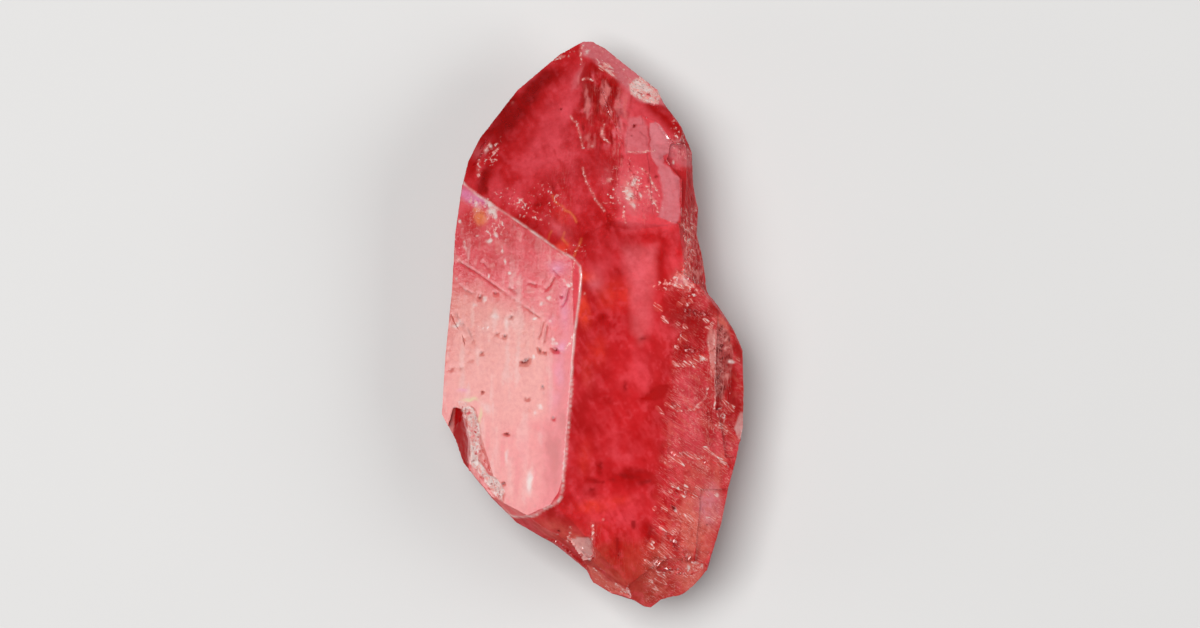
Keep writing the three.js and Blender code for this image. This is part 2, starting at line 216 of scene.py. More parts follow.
RIBBED = (
    ((680, 152), 0.35, 0.6, 10, 0.8), ((618, 165), 0.14, 2.0, 4, 0.7), ((648, 205), 0.12, 0.9, -20, 0.5),
    ((712, 362), 0.2, 1.9, 0, 1.0), ((708, 425), 0.2, 1.2, 0, 0.9), ((721, 365), 0.3, 1.6, 0, 1.0),
    ((604, 100), 0.7, 1.3, -5, 0.3), ((620, 150), 0.5, 1.6, 0, 0.3), ((592, 545), 0.3, 0.9, 0, 0.5),
    ((625, 560), 0.9, 1.0, 0, 0.12), ((692, 410), 0.6, 2.2, 0, 0.3), ((566, 190), 0.5, 1.6, 0, 0.2),
)

# The pale and dark columns of the tip, written in the same way
PALE_COLUMNS = (
    ((605, 94), 0.16, 0.55, -4, 1.0), ((588, 104), 0.14, 0.7, 2, 0.9), ((619, 102), 0.16, 0.9, -6, 0.5),
    ((592, 118), 0.1, 0.4, 0, 0.5), ((598, 84), 0.08, 0.3, 0, 0.4), ((612, 112), 0.1, 0.5, -4, 0.5),
    ((590, 142), 0.45, 0.5, 0, 0.45), ((603, 134), 0.12, 0.5, 4, 0.5), ((613, 150), 0.15, 0.7, 4, 0.45),
    ((581, 76), 0.1, 0.7, -14, 0.6), ((609, 176), 0.25, 0.6, 0, 0.35), ((626, 110), 0.12, 0.6, -6, 0.7),
)
DARK_COLUMNS = (
    ((597, 106), 0.1, 0.6, 2, 0.9), ((581, 108), 0.1, 0.45, 0, 0.8), ((612, 96), 0.1, 0.6, -4, 0.8),
    ((590, 74), 0.3, 0.35, 0, 1.0), ((615, 84), 0.28, 0.25, -20, 0.9), ((596, 124), 0.08, 0.35, 0, 0.6),
    ((607, 124), 0.08, 0.5, 4, 0.6), ((584, 122), 0.08, 0.3, 0, 0.5), ((600, 158), 0.3, 0.3, 20, 0.35),
)

# The bright halo round the tip's sparkling cluster, a painted highlight, written in the same way
HALO = (
    ((628, 197), 0.4, 0.9, 8, 0.9), ((650, 198), 0.3, 0.5, -20, 0.8), ((622, 196), 0.25, 0.5, 0, 0.8),
    ((636, 178), 0.2, 0.3, -30, 0.5), ((640, 210), 0.4, 0.3, 0, 0.5), ((606, 180), 0.35, 0.6, 0, 0.3),
)

# Single pixels
CLUSTER = (636, 192)  # the middle of that cluster
CLUSTER_HEART = (631, 196)  # its palest place
GLASSY_PANE = (732, 386)  # the smooth dark pane at the right edge

# Flat patches with a clear outline: colour, strength, softness in mm and outline
PATCHES = (
    (DUSK, 0.3, 0.3, (
        (622, 250), (655, 246), (654, 290), (649, 330), (641, 345), (632, 330), (626, 280))),
    (ROSE, 0.75, 0.25, (
        (622, 86), (640, 104), (655, 118), (672, 135), (681, 160), (682, 215), (670, 229), (640, 228),
        (618, 224), (621, 170), (625, 120),
    )),
    # The next two pale patches lie on flat steps near the tip: partly their own pale colour, partly painted
    # sheen
    (DUSK, 1.0, 0.03, (
        (650, 124), (655, 123), (661, 129), (667, 138), (674, 147), (668, 153), (662, 158), (664, 166),
        (657, 168), (651, 158), (650, 142),
    )),
    (DUSK, 0.85, 0.06, (
        (657, 168), (664, 164), (671, 171), (679, 177), (680, 190), (680, 214), (676, 224), (668, 222),
        (657, 218), (662, 200), (661, 184),
    )),
    (BODY, 1.0, 0.04, (
        (663, 159), (672, 168), (686, 174), (692, 190), (691, 204), (686, 213), (680, 219), (679, 200),
        (680, 180), (672, 173),
    )),
    (DUSK, 0.6, 0.08, ((628, 119), (641, 117), (648, 127), (649, 153), (624, 155), (625, 140))),
    (ROSE, 0.5, 0.45, (
        (583, 60), (580, 80), (574, 106), (562, 135), (540, 140), (545, 115), (560, 88), (572, 72))),
    (DUSK, 0.3, 0.1, ((582, 64), (581, 76), (576, 90), (571, 92), (573, 80))),
    (ROSE, 0.35, 0.15, ((488, 197), (490, 184), (497, 171), (504, 180), (501, 200), (499, 206))),
    (CRIMSON, 1.0, 0.03, CHIP),
    # A small flat facet's glint, also painted as a pale patch: a painted highlight
    (FROST_AND_GLINT, 0.55, 0.04, (
        (570, 537), (577, 535), (591, 535), (592, 551), (587, 557), (580, 552), (572, 544))),
    (FROST_AND_GLINT, 0.45, 0.05, ((737, 420), (741, 412), (750, 416), (748, 440), (739, 440), (735, 430))),
    (UMBER, 0.85, 0.06, DARK_GROOVE),
    (DUSK, 0.5, 0.12, ((670, 141), (682, 138), (691, 150), (692, 168), (680, 167), (668, 158))),
    (RUST, 0.6, 0.4, ((640, 542), (662, 545), (668, 575), (650, 588), (634, 572))),
    (DUSK, 0.75, 0.12, APEX_RIM),
    (SHELL, 0.8, 0.06, (
        (708, 328), (716, 332), (716, 345), (714, 362), (715, 376), (711, 368), (709, 354), (706, 340))),
    (CRIMSON, 1.25, 0.06, (
        (638, 399), (645, 394), (654, 390), (659, 383), (667, 383), (668, 390), (664, 397), (654, 399))),
    (CRIMSON, 0.9, 0.03, ((608, 214), (611, 214), (612, 224), (610, 233), (606, 231), (606, 224))),
    (SALMON, 0.9, 0.04, (
        (586, 566), (597, 573), (606, 582), (616, 586), (631, 598), (640, 604), (620, 606), (600, 596),
        (586, 580),
    )),
    (CRIMSON, 0.5, 0.1, ((703, 412), (709, 414), (714, 428), (716, 442), (707, 446), (704, 432))),
)

# The left face's edge towards the middle face
LEFT_FACE_EDGE = ((581, 268), (577, 318), (571, 400), (562, 492))

# The left face's tints, laid over its milky base, which is partly painted sheen; the violet ones partly tint
# that sheen
FACE_CLOUDS = (
    (BODY, (
        ((470, 225), 0.5, 0.7, 0, 0.75), ((475, 243), 0.7, 0.3, 0, 0.5), ((510, 238), 0.7, 0.5, -30, 0.7),
        ((500, 252), 0.6, 0.4, -30, 0.4), ((535, 243), 0.6, 0.4, -30, 0.45),
        ((492, 262), 0.8, 0.5, -30, 0.4), ((468, 268), 0.6, 0.4, -30, 0.35),
        ((520, 262), 1.0, 0.5, -30, 0.3),
    )),
    (ROSE, (
        ((556, 460), 0.3, 1.8, 4, 1.0), ((548, 475), 0.25, 1.2, 4, 0.6), ((560, 370), 0.35, 2.0, 4, 0.8),
        ((540, 260), 1.2, 0.6, -30, 0.5), ((565, 300), 0.5, 1.4, 4, 0.7), ((546, 425), 0.7, 0.4, 0, 0.5),
        ((525, 450), 1.2, 1.2, 0, 0.35),
    )),
    (BODY, (
        ((554, 462), 0.34, 1.7, 4, 0.75), ((545, 480), 0.2, 1.0, 4, 0.5), ((562, 420), 0.3, 1.2, 0, 0.6),
        ((563, 370), 0.25, 1.4, 4, 0.4), ((552, 300), 0.5, 0.8, 0, 0.25),
    )),
    # Violet ovals: partly the pinkish violet of the sheen, a painted reflection
    (VIOLET, (
        ((472, 197), 0.7, 0.3, -32, 0.9), ((483, 202), 0.4, 0.22, -32, 0.7),
        ((562, 345), 0.3, 0.4, 0, 0.6), ((560, 268), 0.5, 0.3, 0, 0.5), ((565, 310), 0.3, 1.2, 4, 0.45),
        ((560, 372), 0.3, 0.9, 4, 0.4), ((462, 393), 0.22, 0.12, 0, 0.8), ((556, 400), 0.4, 0.6, 0, 0.25),
        ((552, 322), 0.3, 0.3, 0, 0.3),
    )),
    (AMBER, (((481, 217), 0.26, 0.24, 0, 0.9), ((477, 211), 0.12, 0.1, 0, 0.8))),
    (LIME, (((469, 402), 0.32, 0.08, 5, 0.7), ((480, 414), 0.07, 0.3, 0, 0.45))),
    (FROST_AND_GLINT, (
        ((490, 328), 0.45, 0.3, 0, 0.3), ((507, 325), 0.08, 0.35, 0, 0.5),
        ((497, 319), 0.2, 0.16, 0, 0.7), ((532.5, 479), 0.09, 0.55, 2, 0.85),
        ((509.5, 457), 0.09, 0.35, 0, 0.45), ((456, 323), 0.2, 0.1, 20, 0.8),
        ((486, 408), 0.5, 0.2, -35, 0.3),
    )),
)

# Pits: each one's pixel, half length and half width in mm, and angle in degrees
PITS = (
    ((526, 361), 0.14, 0.1, 20), ((523, 362), 0.1, 0.05, 0), ((528, 358), 0.05, 0.08, 0),
    ((540, 350), 0.05, 0.12, 10), ((555, 349), 0.14, 0.1, -30), ((528, 397), 0.08, 0.06, 0),
    ((528, 408), 0.06, 0.05, 0), ((483, 392), 0.06, 0.05, 0), ((554, 416), 0.05, 0.05, 0),
    ((498, 333), 0.05, 0.05, 0), ((505, 336), 0.06, 0.05, 0), ((511, 317), 0.06, 0.05, 30),
    ((496, 293), 0.08, 0.06, 0), ((480, 298), 0.06, 0.05, 0), ((452, 368), 0.1, 0.04, 10),
    ((461, 367), 0.04, 0.07, 20), ((471, 360), 0.04, 0.04, 0), ((481, 353), 0.07, 0.05, 0),
    ((504, 482), 0.1, 0.05, 20), ((545, 393), 0.04, 0.04, 0), ((562, 297), 0.04, 0.04, 0),
    ((507, 433), 0.1, 0.05, 0), ((536, 505), 0.05, 0.05, 0), ((526, 342), 0.05, 0.04, 0),
    ((619, 553), 0.05, 0.05, 0), ((561, 110), 0.06, 0.05, 0), ((624, 314), 0.04, 0.04, 0),
    ((634, 127), 0.1, 0.07, 40), ((632, 137), 0.05, 0.05, 0), ((707, 524), 0.06, 0.05, 0),
    ((475, 456), 0.1, 0.1, 0), ((558, 532), 0.05, 0.2, 0), ((674, 505), 0.08, 0.2, 20),
    ((545, 352), 0.05, 0.05, 0), ((481, 296), 0.05, 0.08, 0), ((543, 387), 0.04, 0.08, 0),
)

# Small marks: colour, strength, then each one's pixel, half length, half width and angle
SPOTS = (
    (GARNET, 0.75, (
        ((598, 479), 0.35, 0.07, -10), ((612, 478), 0.3, 0.08, -15), ((628, 474), 0.55, 0.14, -8),
        ((644, 480), 0.35, 0.1, 10), ((601, 463), 0.07, 0.35, 0), ((592, 487), 0.15, 0.1, 0),
        ((604, 317), 0.2, 0.12, 30), ((643, 338), 0.2, 0.07, 25), ((625, 385), 0.12, 0.3, 0),
        ((618, 545), 0.1, 0.5, 10), ((648, 536), 0.1, 0.5, -15), ((633, 520), 0.1, 0.35, 0),
        ((583, 128), 0.08, 0.3, 10), ((600, 150), 0.07, 0.3, -10), ((611, 140), 0.07, 0.35, 5),
        ((618, 122), 0.07, 0.4, 10), ((598, 108), 0.1, 0.4, 0), ((656, 178), 0.1, 0.07, 30),
        ((648, 182), 0.06, 0.15, 0), ((540, 205), 0.2, 0.1, 20), ((553, 188), 0.1, 0.2, 20),
        ((487, 190), 0.12, 0.25, 0),
    )),
    (FROST_AND_GLINT, 1.0, (
        ((466, 246), 0.07, 0.2, 5), ((471, 202), 0.07, 0.08, 0), ((490, 205), 0.2, 0.14, -40),
        ((493, 212), 0.2, 0.2, 0), ((497, 217), 0.1, 0.12, 0), ((460, 222), 0.08, 0.08, 0),
        ((497, 236), 0.09, 0.12, 0), ((490, 242), 0.14, 0.1, 30), ((510, 274), 0.07, 0.08, 0),
        ((485, 299), 0.11, 0.14, 0), ((476, 304), 0.09, 0.06, 0), ((543, 303), 0.12, 0.13, -30),
        ((550, 298), 0.12, 0.08, 0), ((535, 319), 0.12, 0.06, 10), ((551, 321), 0.07, 0.07, 0),
        ((553, 339), 0.09, 0.12, 20), ((555, 343), 0.13, 0.09, 0), ((541, 405), 0.1, 0.12, 30),
        ((536, 411), 0.08, 0.12, -30), ((495, 479), 0.08, 0.16, 0), ((499, 487), 0.2, 0.18, -20),
        ((503, 490), 0.1, 0.12, 0), ((534, 356), 0.06, 0.1, 0), ((565, 281), 0.14, 0.05, -55),
        ((569, 286), 0.12, 0.07, -40), ((490, 276), 0.05, 0.12, 0), ((457, 279), 0.06, 0.1, 0),
        ((478, 236), 0.1, 0.05, 20), ((503, 250), 0.05, 0.16, 0), ((506, 262), 0.06, 0.16, 10),
        # Painted glints on the apex rim, painted highlights
        ((607, 71), 0.42, 0.05, -31), ((609, 67), 0.25, 0.04, -28), ((614, 77), 0.2, 0.04, -34),
        # Painted sparkles of the tip's cluster, painted highlights, running into the next line
        ((630, 196), 0.14, 0.3, 8), ((633, 206), 0.08, 0.16, 20), ((634, 183), 0.1, 0.22, -20),
        ((627, 193), 0.08, 0.14, 0), ((640, 196), 0.06, 0.14, 20), ((486, 151), 0.1, 0.07, 40),
        ((491, 148), 0.05, 0.08, 0), ((587, 53), 0.16, 0.1, 30), ((673, 163), 0.06, 0.1, 0),
        ((731, 362), 0.17, 0.08, -10), ((698, 562), 0.06, 0.06, 0), ((703, 567), 0.06, 0.12, 0),
        ((689, 568), 0.07, 0.1, 0), ((717, 494), 0.07, 0.12, 20), ((684, 282), 0.1, 0.14, 0),
        ((676, 508), 0.05, 0.14, 20),
    )),
    (SHELL, 0.7, (
        ((592, 147), 0.07, 0.07, 0), ((609, 182), 0.1, 0.1, 0), ((563, 57), 0.08, 0.05, 0),
        ((512, 104), 0.06, 0.05, 0), ((603, 517), 0.06, 0.07, 0), ((585, 294), 0.05, 0.05, 0),
    )),
    (WINE, 1.0, PITS),
)

# Cracks: each one's path
CRACKS = (
    ((459, 261), (475, 271), (490, 281), (505, 292), (520, 303), (540, 317)),
    ((461, 285), (468, 291), (474, 294)),
    ((456, 313), (461, 322), (466, 331), (473, 344)),
    ((463, 322), (470, 332), (474, 341)),
    ((555, 277), (550, 286), (546, 290)),
    ((568, 290), (566, 299), (563, 305)),
    ((555, 270), (560, 276)),
    ((543, 322), (541, 331), (539, 337)),
    ((547, 325), (545, 341)),
    ((530, 283), (536, 285)),
    ((510, 287), (517, 292)),
    ((484, 262), (490, 270)),
    ((648, 127), (650, 140), (648, 153)),
    ((640, 133), (646, 138), (647, 146)),
)

# Thin lines: colour, strength, half width in mm, then each path
LINES = (
    (FROST_AND_GLINT, 0.85, 0.045, (
        ((463, 183), (480, 197), (504, 213), (531, 231), (555, 248), (572, 259), (580, 267)),
        (
            (580, 267), (581.5, 275), (579, 305), (575, 335), (573, 365), (571, 398), (568, 429),
            (566, 452), (563, 487), (561, 496),
        ),
        ((561, 496), (555, 501), (546, 506), (536, 513), (520, 516), (508, 514)),
    )),
    (WINE, 0.45, 0.03, CRACKS),
    (CRIMSON, 0.5, 0.05, (
        ((576, 256), (580, 246), (584, 239), (592, 234), (600, 229), (609, 224)),
        ((577, 88), (583, 78), (584, 63)),
        ((632, 97), (630, 108), (627, 122)),
        ((636, 126), (630, 131)),
        ((622, 158), (616, 172), (612, 186)),
        ((682, 516), (680, 530), (677, 550)),
        ((718, 350), (716, 362), (717, 374)),
        ((645, 240), (652, 236), (661, 240)),
    )),
    (AMBER, 0.8, 0.045, (
        ((553, 197), (556, 203), (559, 205), (563, 207), (565, 211), (570, 213), (574, 217), (577, 223)),
        ((552, 232), (550, 236), (549, 240)),
        ((565, 233), (563, 239), (568, 245)),
        ((574, 257), (577, 250), (580, 246), (582, 240)),
    )),
)

# Pale lines that carry painted sparkles here and there, painted highlights: half width in mm, then each path
BRIGHT_LINES = (
    (0.06, (
        (
            (571, 117), (572, 120), (574, 122), (577, 124), (578, 128), (579, 133), (580, 134),
            (581, 141), (582, 142), (583, 150),
        ),
        (
            (583, 170), (584, 174), (586, 178), (586, 183), (588, 186), (590, 191), (593, 196),
            (596, 202), (604, 212),
        ),
        ((581, 64), (580, 50), (584, 46)),
        ((583, 80), (588, 79), (593, 81)),
        ((641, 170), (648, 176), (653, 186), (656, 192)),
        ((646, 187), (650, 196), (654, 203)),
        ((624, 208), (623, 216), (625, 223)),
        ((604, 126), (602, 135), (605, 141), (609, 145)),
        ((575, 263), (573, 270), (572, 281), (573, 289)),
        ((575, 333), (571, 342), (566, 348)),
        ((592, 521), (593, 532), (592, 540), (593, 552)),
        ((566, 545), (569, 535), (571, 525)),
        ((613, 586), (622, 592), (631, 599)),
        ((479, 161), (478, 170), (479, 178)),
        ((484, 152), (490, 144)),
        ((650, 200), (655, 206), (657, 213)),
    )),
    (0.045, (
        ((713, 330), (714, 352), (715, 376), (715, 396), (714, 408)),
        ((708, 338), (709, 360), (711, 378)),
        ((697, 405), (705, 398), (707, 388)),
        ((628, 153), (640, 153), (655, 152)),
    )),
)

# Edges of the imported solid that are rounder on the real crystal: path, reach and depth in mm
ROUNDED = (
    (((692, 280), (670, 388), (667, 557)), 1.2, 0.12),
    (((556, 537), (626, 591), (666, 562), (695, 559), (712, 562)), 1.1, 0.2),
    (((609, 221), (668, 226)), 0.5, 0.06),
    (((578, 90), (609, 221)), 0.5, 0.055),
    (((660, 144), (676, 143), (694, 146)), 0.6, 0.12),
)

# Where the front is crowded with marks and needs the finest mesh: pixel, half width and half height in mm
BUSY_ZONES = (
    ((655, 170), 3.2, 4.4), ((697, 430), 2.3, 7.5), ((600, 130), 2.2, 4.2), ((650, 550), 2.6, 2.6),
    ((490, 235), 2.4, 2.6), ((478, 440), 1.5, 3.0), ((560, 300), 1.5, 3.6), ((560, 230), 1.8, 1.6),
)

# Short painted glints on torn ground, painted highlights: from pixel to pixel
GLINTS = (
    (676, 302, 682, 306), (681, 299, 685, 302), (684, 304, 690, 306), (688, 300, 693, 303),
    (653, 303, 657, 311), (657, 305, 661, 312), (660, 316, 667, 323), (675, 322, 680, 326),
    (683, 325, 688, 329), (678, 338, 682, 342), (680, 335, 684, 339), (684, 336, 687, 341),
    (672, 361, 680, 366), (680, 364, 686, 366), (684, 361, 690, 366), (686, 354, 692, 361),
    (690, 360, 697, 367), (694, 357, 700, 361), (697, 355, 703, 360), (699, 356, 706, 360),
    (692, 364, 697, 369), (674, 346, 680, 348), (664, 403, 671, 404), (669, 405, 677, 407),
    (676, 402, 681, 406), (677, 406, 682, 410), (688, 408, 695, 409), (695, 405, 699, 408),
    (655, 405, 664, 415), (668, 454, 676, 460), (674, 456, 682, 464), (678, 459, 685, 465),
    (680, 452, 687, 456), (683, 453, 690, 457), (686, 450, 693, 456), (690, 453, 697, 457),
    (694, 456, 704, 457), (703, 446, 709, 451), (707, 450, 716, 456), (716, 456, 724, 461),
    (720, 460, 727, 464), (664, 460, 668, 463), (672, 482, 676, 486), (677, 486, 682, 489),
    (684, 483, 688, 487), (695, 485, 703, 488), (670, 489, 674, 491), (679, 494, 686, 495),
    (692, 494, 697, 496), (705, 494, 709, 495), (714, 491, 717, 497), (652, 506, 656, 508),
    (661, 505, 665, 508), (664, 507, 668, 510), (680, 511, 684, 514), (683, 513, 689, 514),
    (685, 516, 692, 519), (686, 519, 694, 521), (689, 513, 693, 517), (706, 515, 711, 518),
    (710, 517, 716, 519), (660, 524, 664, 528), (662, 526, 668, 530), (668, 530, 674, 533),
    (674, 527, 676, 531), (650, 536, 655, 541), (648, 541, 654, 547), (659, 541, 666, 549),
    (664, 545, 672, 553), (668, 550, 676, 556), (657, 549, 663, 554), (661, 554, 667, 559),
    (672, 552, 678, 557), (675, 560, 680, 562), (680, 559, 687, 559), (644, 557, 650, 562),
    (650, 561, 655, 566), (652, 564, 658, 571), (655, 568, 661, 575), (658, 571, 666, 578),
    (656, 577, 661, 583), (652, 585, 658, 590), (650, 580, 654, 584), (663, 580, 667, 585),
    (684, 573, 688, 577), (722, 400, 727, 404), (725, 402, 731, 407), (728, 406, 735, 408),
    (729, 410, 735, 411), (717, 422, 723, 426), (719, 425, 726, 428), (722, 428, 728, 431),
    (724, 431, 727, 434), (702, 319, 708, 322), (704, 327, 712, 328), (710, 322, 712, 326),
    (682, 222, 686, 232), (683, 236, 690, 246), (687, 228, 692, 236), (690, 232, 694, 238),
    (692, 224, 695, 230), (686, 246, 690, 250), (691, 250, 696, 256), (684, 262, 690, 266),
    (688, 256, 693, 262), (690, 266, 694, 272), (682, 270, 688, 274), (676, 276, 684, 277),
    (684, 276, 694, 275), (682, 282, 690, 284), (676, 287, 690, 288), (690, 285, 697, 287),
    (670, 285, 680, 286), (599, 67, 606, 71), (604, 69, 613, 75), (606, 72, 617, 76), (603, 64, 610, 67),
    (736, 358, 740, 362),
)


def on_crystal(pixels):
    """Pixels of the photograph as millimetres on the crystal, seen from straight above."""
    pixels = np.asarray(pixels, dtype=float)
    x = (pixels[..., 0] - PHOTO_ORIGIN[0]) * MM_PER_PIXEL
    y = (PHOTO_ORIGIN[1] - pixels[..., 1]) * MM_PER_PIXEL
    return np.stack((x, y), axis=-1)


# Random fields and soft shapes, as whole arrays; the last number of every noise or cloud is its seed


def lattice_value(cells, seed):
    """A fixed random number from -1 to 1 for each cell: its whole numbers mixed by products and shifts."""
    mixed = cells[:, 0] * 73856093 ^ cells[:, 1] * 19349663 ^ cells[:, 2] * 83492791 ^ seed * 2654435761
    mixed = (mixed ^ (mixed >> 13)) * 1274126177
    mixed = (mixed ^ (mixed >> 16)) & 0xFFFFFF
    return mixed / float(0x7FFFFF) - 1.0


def noise(points, size, seed):
    """Smooth random field from -1 to 1, its pattern picked by seed.

    Lattice corners lie size apart, and their values are joined by the step 3t^2 - 2t^3.
    """
    scaled = points / size
    base = np.floor(scaled).astype(np.int64)
    part = scaled - base
    part = part * part * (3.0 - 2.0 * part)
    total = np.zeros(len(points))
    for corner in itertools.product((0, 1), repeat=3):
        weight = np.prod(np.where(corner, part, 1.0 - part), axis=1)
        total += weight * lattice_value(base + np.array(corner), seed)
    return total


def cloud(points, size, seed, octaves=4, gain=0.55):
    """Sum of noise fields, about -1 to 1: each half the size and gain times the height of the last."""
    total = np.zeros(len(points))
    height = 1.0
    for octave in range(octaves):
        total += height * noise(points, size / 2**octave, seed + 7 * octave)
        height *= gain
    return total * (1.0 - gain) * 1.6


def stretched(points, angle, along, across=1.0):
    """Points for a noise drawn out at that angle: turned back by it, then divided by along and across."""
    cosine, sine = math.cos(math.radians(angle)), math.sin(math.radians(angle))
    x = (points[:, 0] * cosine + points[:, 1] * sine) / along
    y = (-points[:, 0] * sine + points[:, 1] * cosine) / across
    return np.stack((x, y, points[:, 2]), axis=1)


def smooth(value, low, high):
    """0 below low, 1 above high, and 3t^2 - 2t^3 between them."""
    t = np.clip((value - low) / (high - low), 0.0, 1.0)
    return t * t * (3.0 - 2.0 * t)


def path_distance(xy, path):
    """Distance of each point from the nearest stretch of an open path."""
    best = np.full(len(xy), 1e9)
    for start, end in zip(path[:-1], path[1:]):
        way = end - start
        t = np.clip(((xy - start) @ way) / max(way @ way, 1e-18), 0.0, 1.0)
        best = np.minimum(best, np.linalg.norm(xy - start - t[:, None] * way, axis=1))
    return best


def depth_inside(xy, starts, ends):
    """Distance from an outline given by its sides, positive inside and negative outside.

    A point is inside where a ray to its right crosses an odd number of sides.
    """
    crossed = np.zeros(len(xy), dtype=bool)
    best = np.full(len(xy), 1e9)
    for start, end in zip(starts, ends):
        spans = (start[1] > xy[:, 1]) != (end[1] > xy[:, 1])
        rise = end[1] - start[1] if end[1] != start[1] else 1e-12
        crossed ^= spans & (xy[:, 0] < start[0] + (xy[:, 1] - start[1]) * (end[0] - start[0]) / rise)
        way = end - start
        t = np.clip(((xy - start) @ way) / max(way @ way, 1e-18), 0.0, 1.0)
        best = np.minimum(best, np.linalg.norm(xy - start - t[:, None] * way, axis=1))
    return np.where(crossed, best, -best)


def inside(xy, pixels, soft):
    """1 inside a closed outline and 0 outside, soft over that distance."""
    outline = on_crystal(pixels)
    return smooth(depth_inside(xy, outline, np.roll(outline, -1, axis=0)), -soft, soft)


def spot(xy, pixel, along, across, angle=0.0):
    """A soft oval: exp(-(u / along)^2 - (v / across)^2), with u turned by angle from +X."""
    offset = xy - on_crystal(pixel)
    cosine, sine = math.cos(math.radians(angle)), math.sin(math.radians(angle))
    u = offset[:, 0] * cosine + offset[:, 1] * sine
    v = -offset[:, 0] * sine + offset[:, 1] * cosine
    return np.exp(-(u / along) ** 2 - (v / across) ** 2)


def line(xy, path, width):
    """A soft line along a path of pixels: exp(-(distance / width)^2)."""
    return np.exp(-(path_distance(xy, on_crystal(path)) / width) ** 2)


# The fine mesh of the crystal


def node_triangles(node):
    """The node's corner points in mm and its triangles, with the points that share a place made one."""
    mesh = node.data
    points = np.empty(len(mesh.vertices) * 3)
    mesh.vertices.foreach_get("co", points)
    mesh.calc_loop_triangles()
    triangles = np.empty(len(mesh.loop_triangles) * 3, dtype=np.int32)
    mesh.loop_triangles.foreach_get("vertices", triangles)
    points = points.reshape(-1, 3) / MM
    places = np.round(points / SAME_PLACE).astype(np.int64)
    _, first, index = np.unique(places, axis=0, return_index=True, return_inverse=True)
    triangles = index.reshape(-1)[triangles].reshape(-1, 3)
    whole = (triangles != np.roll(triangles, 1, axis=1)).all(axis=1)
    return points[first], triangles[whole]


def cross_products(points, triangles):
    """Each triangle's outward direction, as long as twice its area."""
    corners = points[triangles]
    return np.cross(corners[:, 1] - corners[:, 0], corners[:, 2] - corners[:, 0])


def flat_faces(points, triangles):
    """Triangles in one plane joined: each one's face number, then the faces' borders and their owners."""
    outward = cross_products(points, triangles)
    outward /= np.maximum(np.linalg.norm(outward, axis=1, keepdims=True), 1e-20)
    edges = np.sort(np.stack((triangles, np.roll(triangles, -1, axis=1)), axis=2).reshape(-1, 2), axis=1)
    order = np.lexsort((edges[:, 1], edges[:, 0]))
    owners = np.repeat(np.arange(len(triangles)), 3)[order].reshape(-1, 2)
    edges = edges[order][::2]
    flat = (outward[owners[:, 0]] * outward[owners[:, 1]]).sum(axis=1) > math.cos(math.radians(FLAT_ANGLE))
    first, second = owners[flat].T
    face = np.arange(len(triangles))
    while (face[first] != face[second]).any():
        low = np.minimum(face[first], face[second])
        np.minimum.at(face, first, low)
        np.minimum.at(face, second, low)
    border = face[owners[:, 0]] != face[owners[:, 1]]
    return face, edges[border], face[owners[border]]


def cell_at(places, settings):
    """Mesh spacing in mm at these places: fine in front, plain behind."""
    seen = smooth(places[:, 2], GIRDLE - 0.8, GIRDLE + 0.2)
    return settings.hidden_cell + (settings.seen_cell - settings.hidden_cell) * seen


def lattice(low, high, cell):
    """Points of an even triangular lattice over a rectangle, and which of them make one twice as wide."""
    columns = np.arange(low[0], high[0], cell)
    rows = np.arange(low[1], high[1], cell * math.sqrt(0.75))
    row = np.repeat(np.arange(len(rows)), len(columns))
    column = np.tile(np.arange(len(columns)), len(rows))
    spots = np.stack((columns[column] + (row % 2) * cell / 2, rows[row]), axis=1)
    return spots, (row % 2 == 0) & ((column + row // 2) % 2 == 0)


def busy(xy):
    """Whether a point lies in one of the busy zones, which are ovals."""
    near = np.zeros(len(xy), dtype=bool)
    for pixel, width, height in BUSY_ZONES:
        near |= spot(xy, pixel, width, height) > math.exp(-1.0)
    return near


def divided_borders(points, borders, settings):
    """The borders divided into even steps: the points, new ones last, and each border's chain of them."""
    ends = points[borders]
    lengths = np.linalg.norm(ends[:, 0] - ends[:, 1], axis=1)
    pieces = np.maximum(np.ceil(lengths / cell_at(ends.mean(axis=1), settings)).astype(int), 1)
    grown = [points]
    chains = []
    total = len(points)
    for (start, end), count in zip(borders, pieces):
        steps = np.arange(1, count)[:, None] / count
        grown.append(points[start] + (points[end] - points[start]) * steps)
        chains.append(np.concatenate(([start], np.arange(total, total + count - 1), [end])))
        total += count - 1
    return np.vstack(grown), chains


def face_plane(normal):
    """Two directions in a face, square to each other, as the columns of a matrix."""
    aside = np.cross(normal, (0.0, 1.0, 0.0) if abs(normal[1]) < 0.9 else (1.0, 0.0, 0.0))
    aside /= np.linalg.norm(aside)
    return np.stack((aside, np.cross(normal, aside)), axis=1)


def filled_face(rim_points, side_points, links, normal, settings):
    """Lattice points inside a flat face, and triangles that number its rim's points first and then those.

    A Delaunay triangulation in the face's plane joins them. Triangles outside the sides are left out, and so
    are those with next to no area.
    """
    plane = face_plane(normal)
    rim = rim_points @ plane
    height = (rim_points @ normal).mean()
    starts, ends = (side_points @ plane).transpose(1, 0, 2)
    cell = cell_at(rim_points.mean(axis=0)[None], settings)[0]
    spots, wide = lattice(rim.min(axis=0), rim.max(axis=0), cell)
    filling = spots @ plane.T + normal * height
    if normal[2] > 0.05:
        wide |= busy(filling[:, :2])
    filling, spots = filling[wide], spots[wide]
    deep = depth_inside(spots, starts, ends) > 0.5 * cell
    flat = np.vstack((rim, spots[deep]))
    places = [Vector(place) for place in flat.tolist()]
    _, _, found, origin, _, _ = delaunay_2d_cdt(places, links, [], 0, 1e-9, True)
    source = np.array([first[0] for first in origin])
    found = source[np.array(found)]
    shape = flat[found]
    twice = np.cross(shape[:, 1] - shape[:, 0], shape[:, 2] - shape[:, 0])
    longest = np.linalg.norm(shape - np.roll(shape, -1, axis=1), axis=2).max(axis=1)
    kept = (depth_inside(shape.mean(axis=1), starts, ends) > 0) & (twice > SLIVER * longest**2)
    return filling[deep], found[kept]


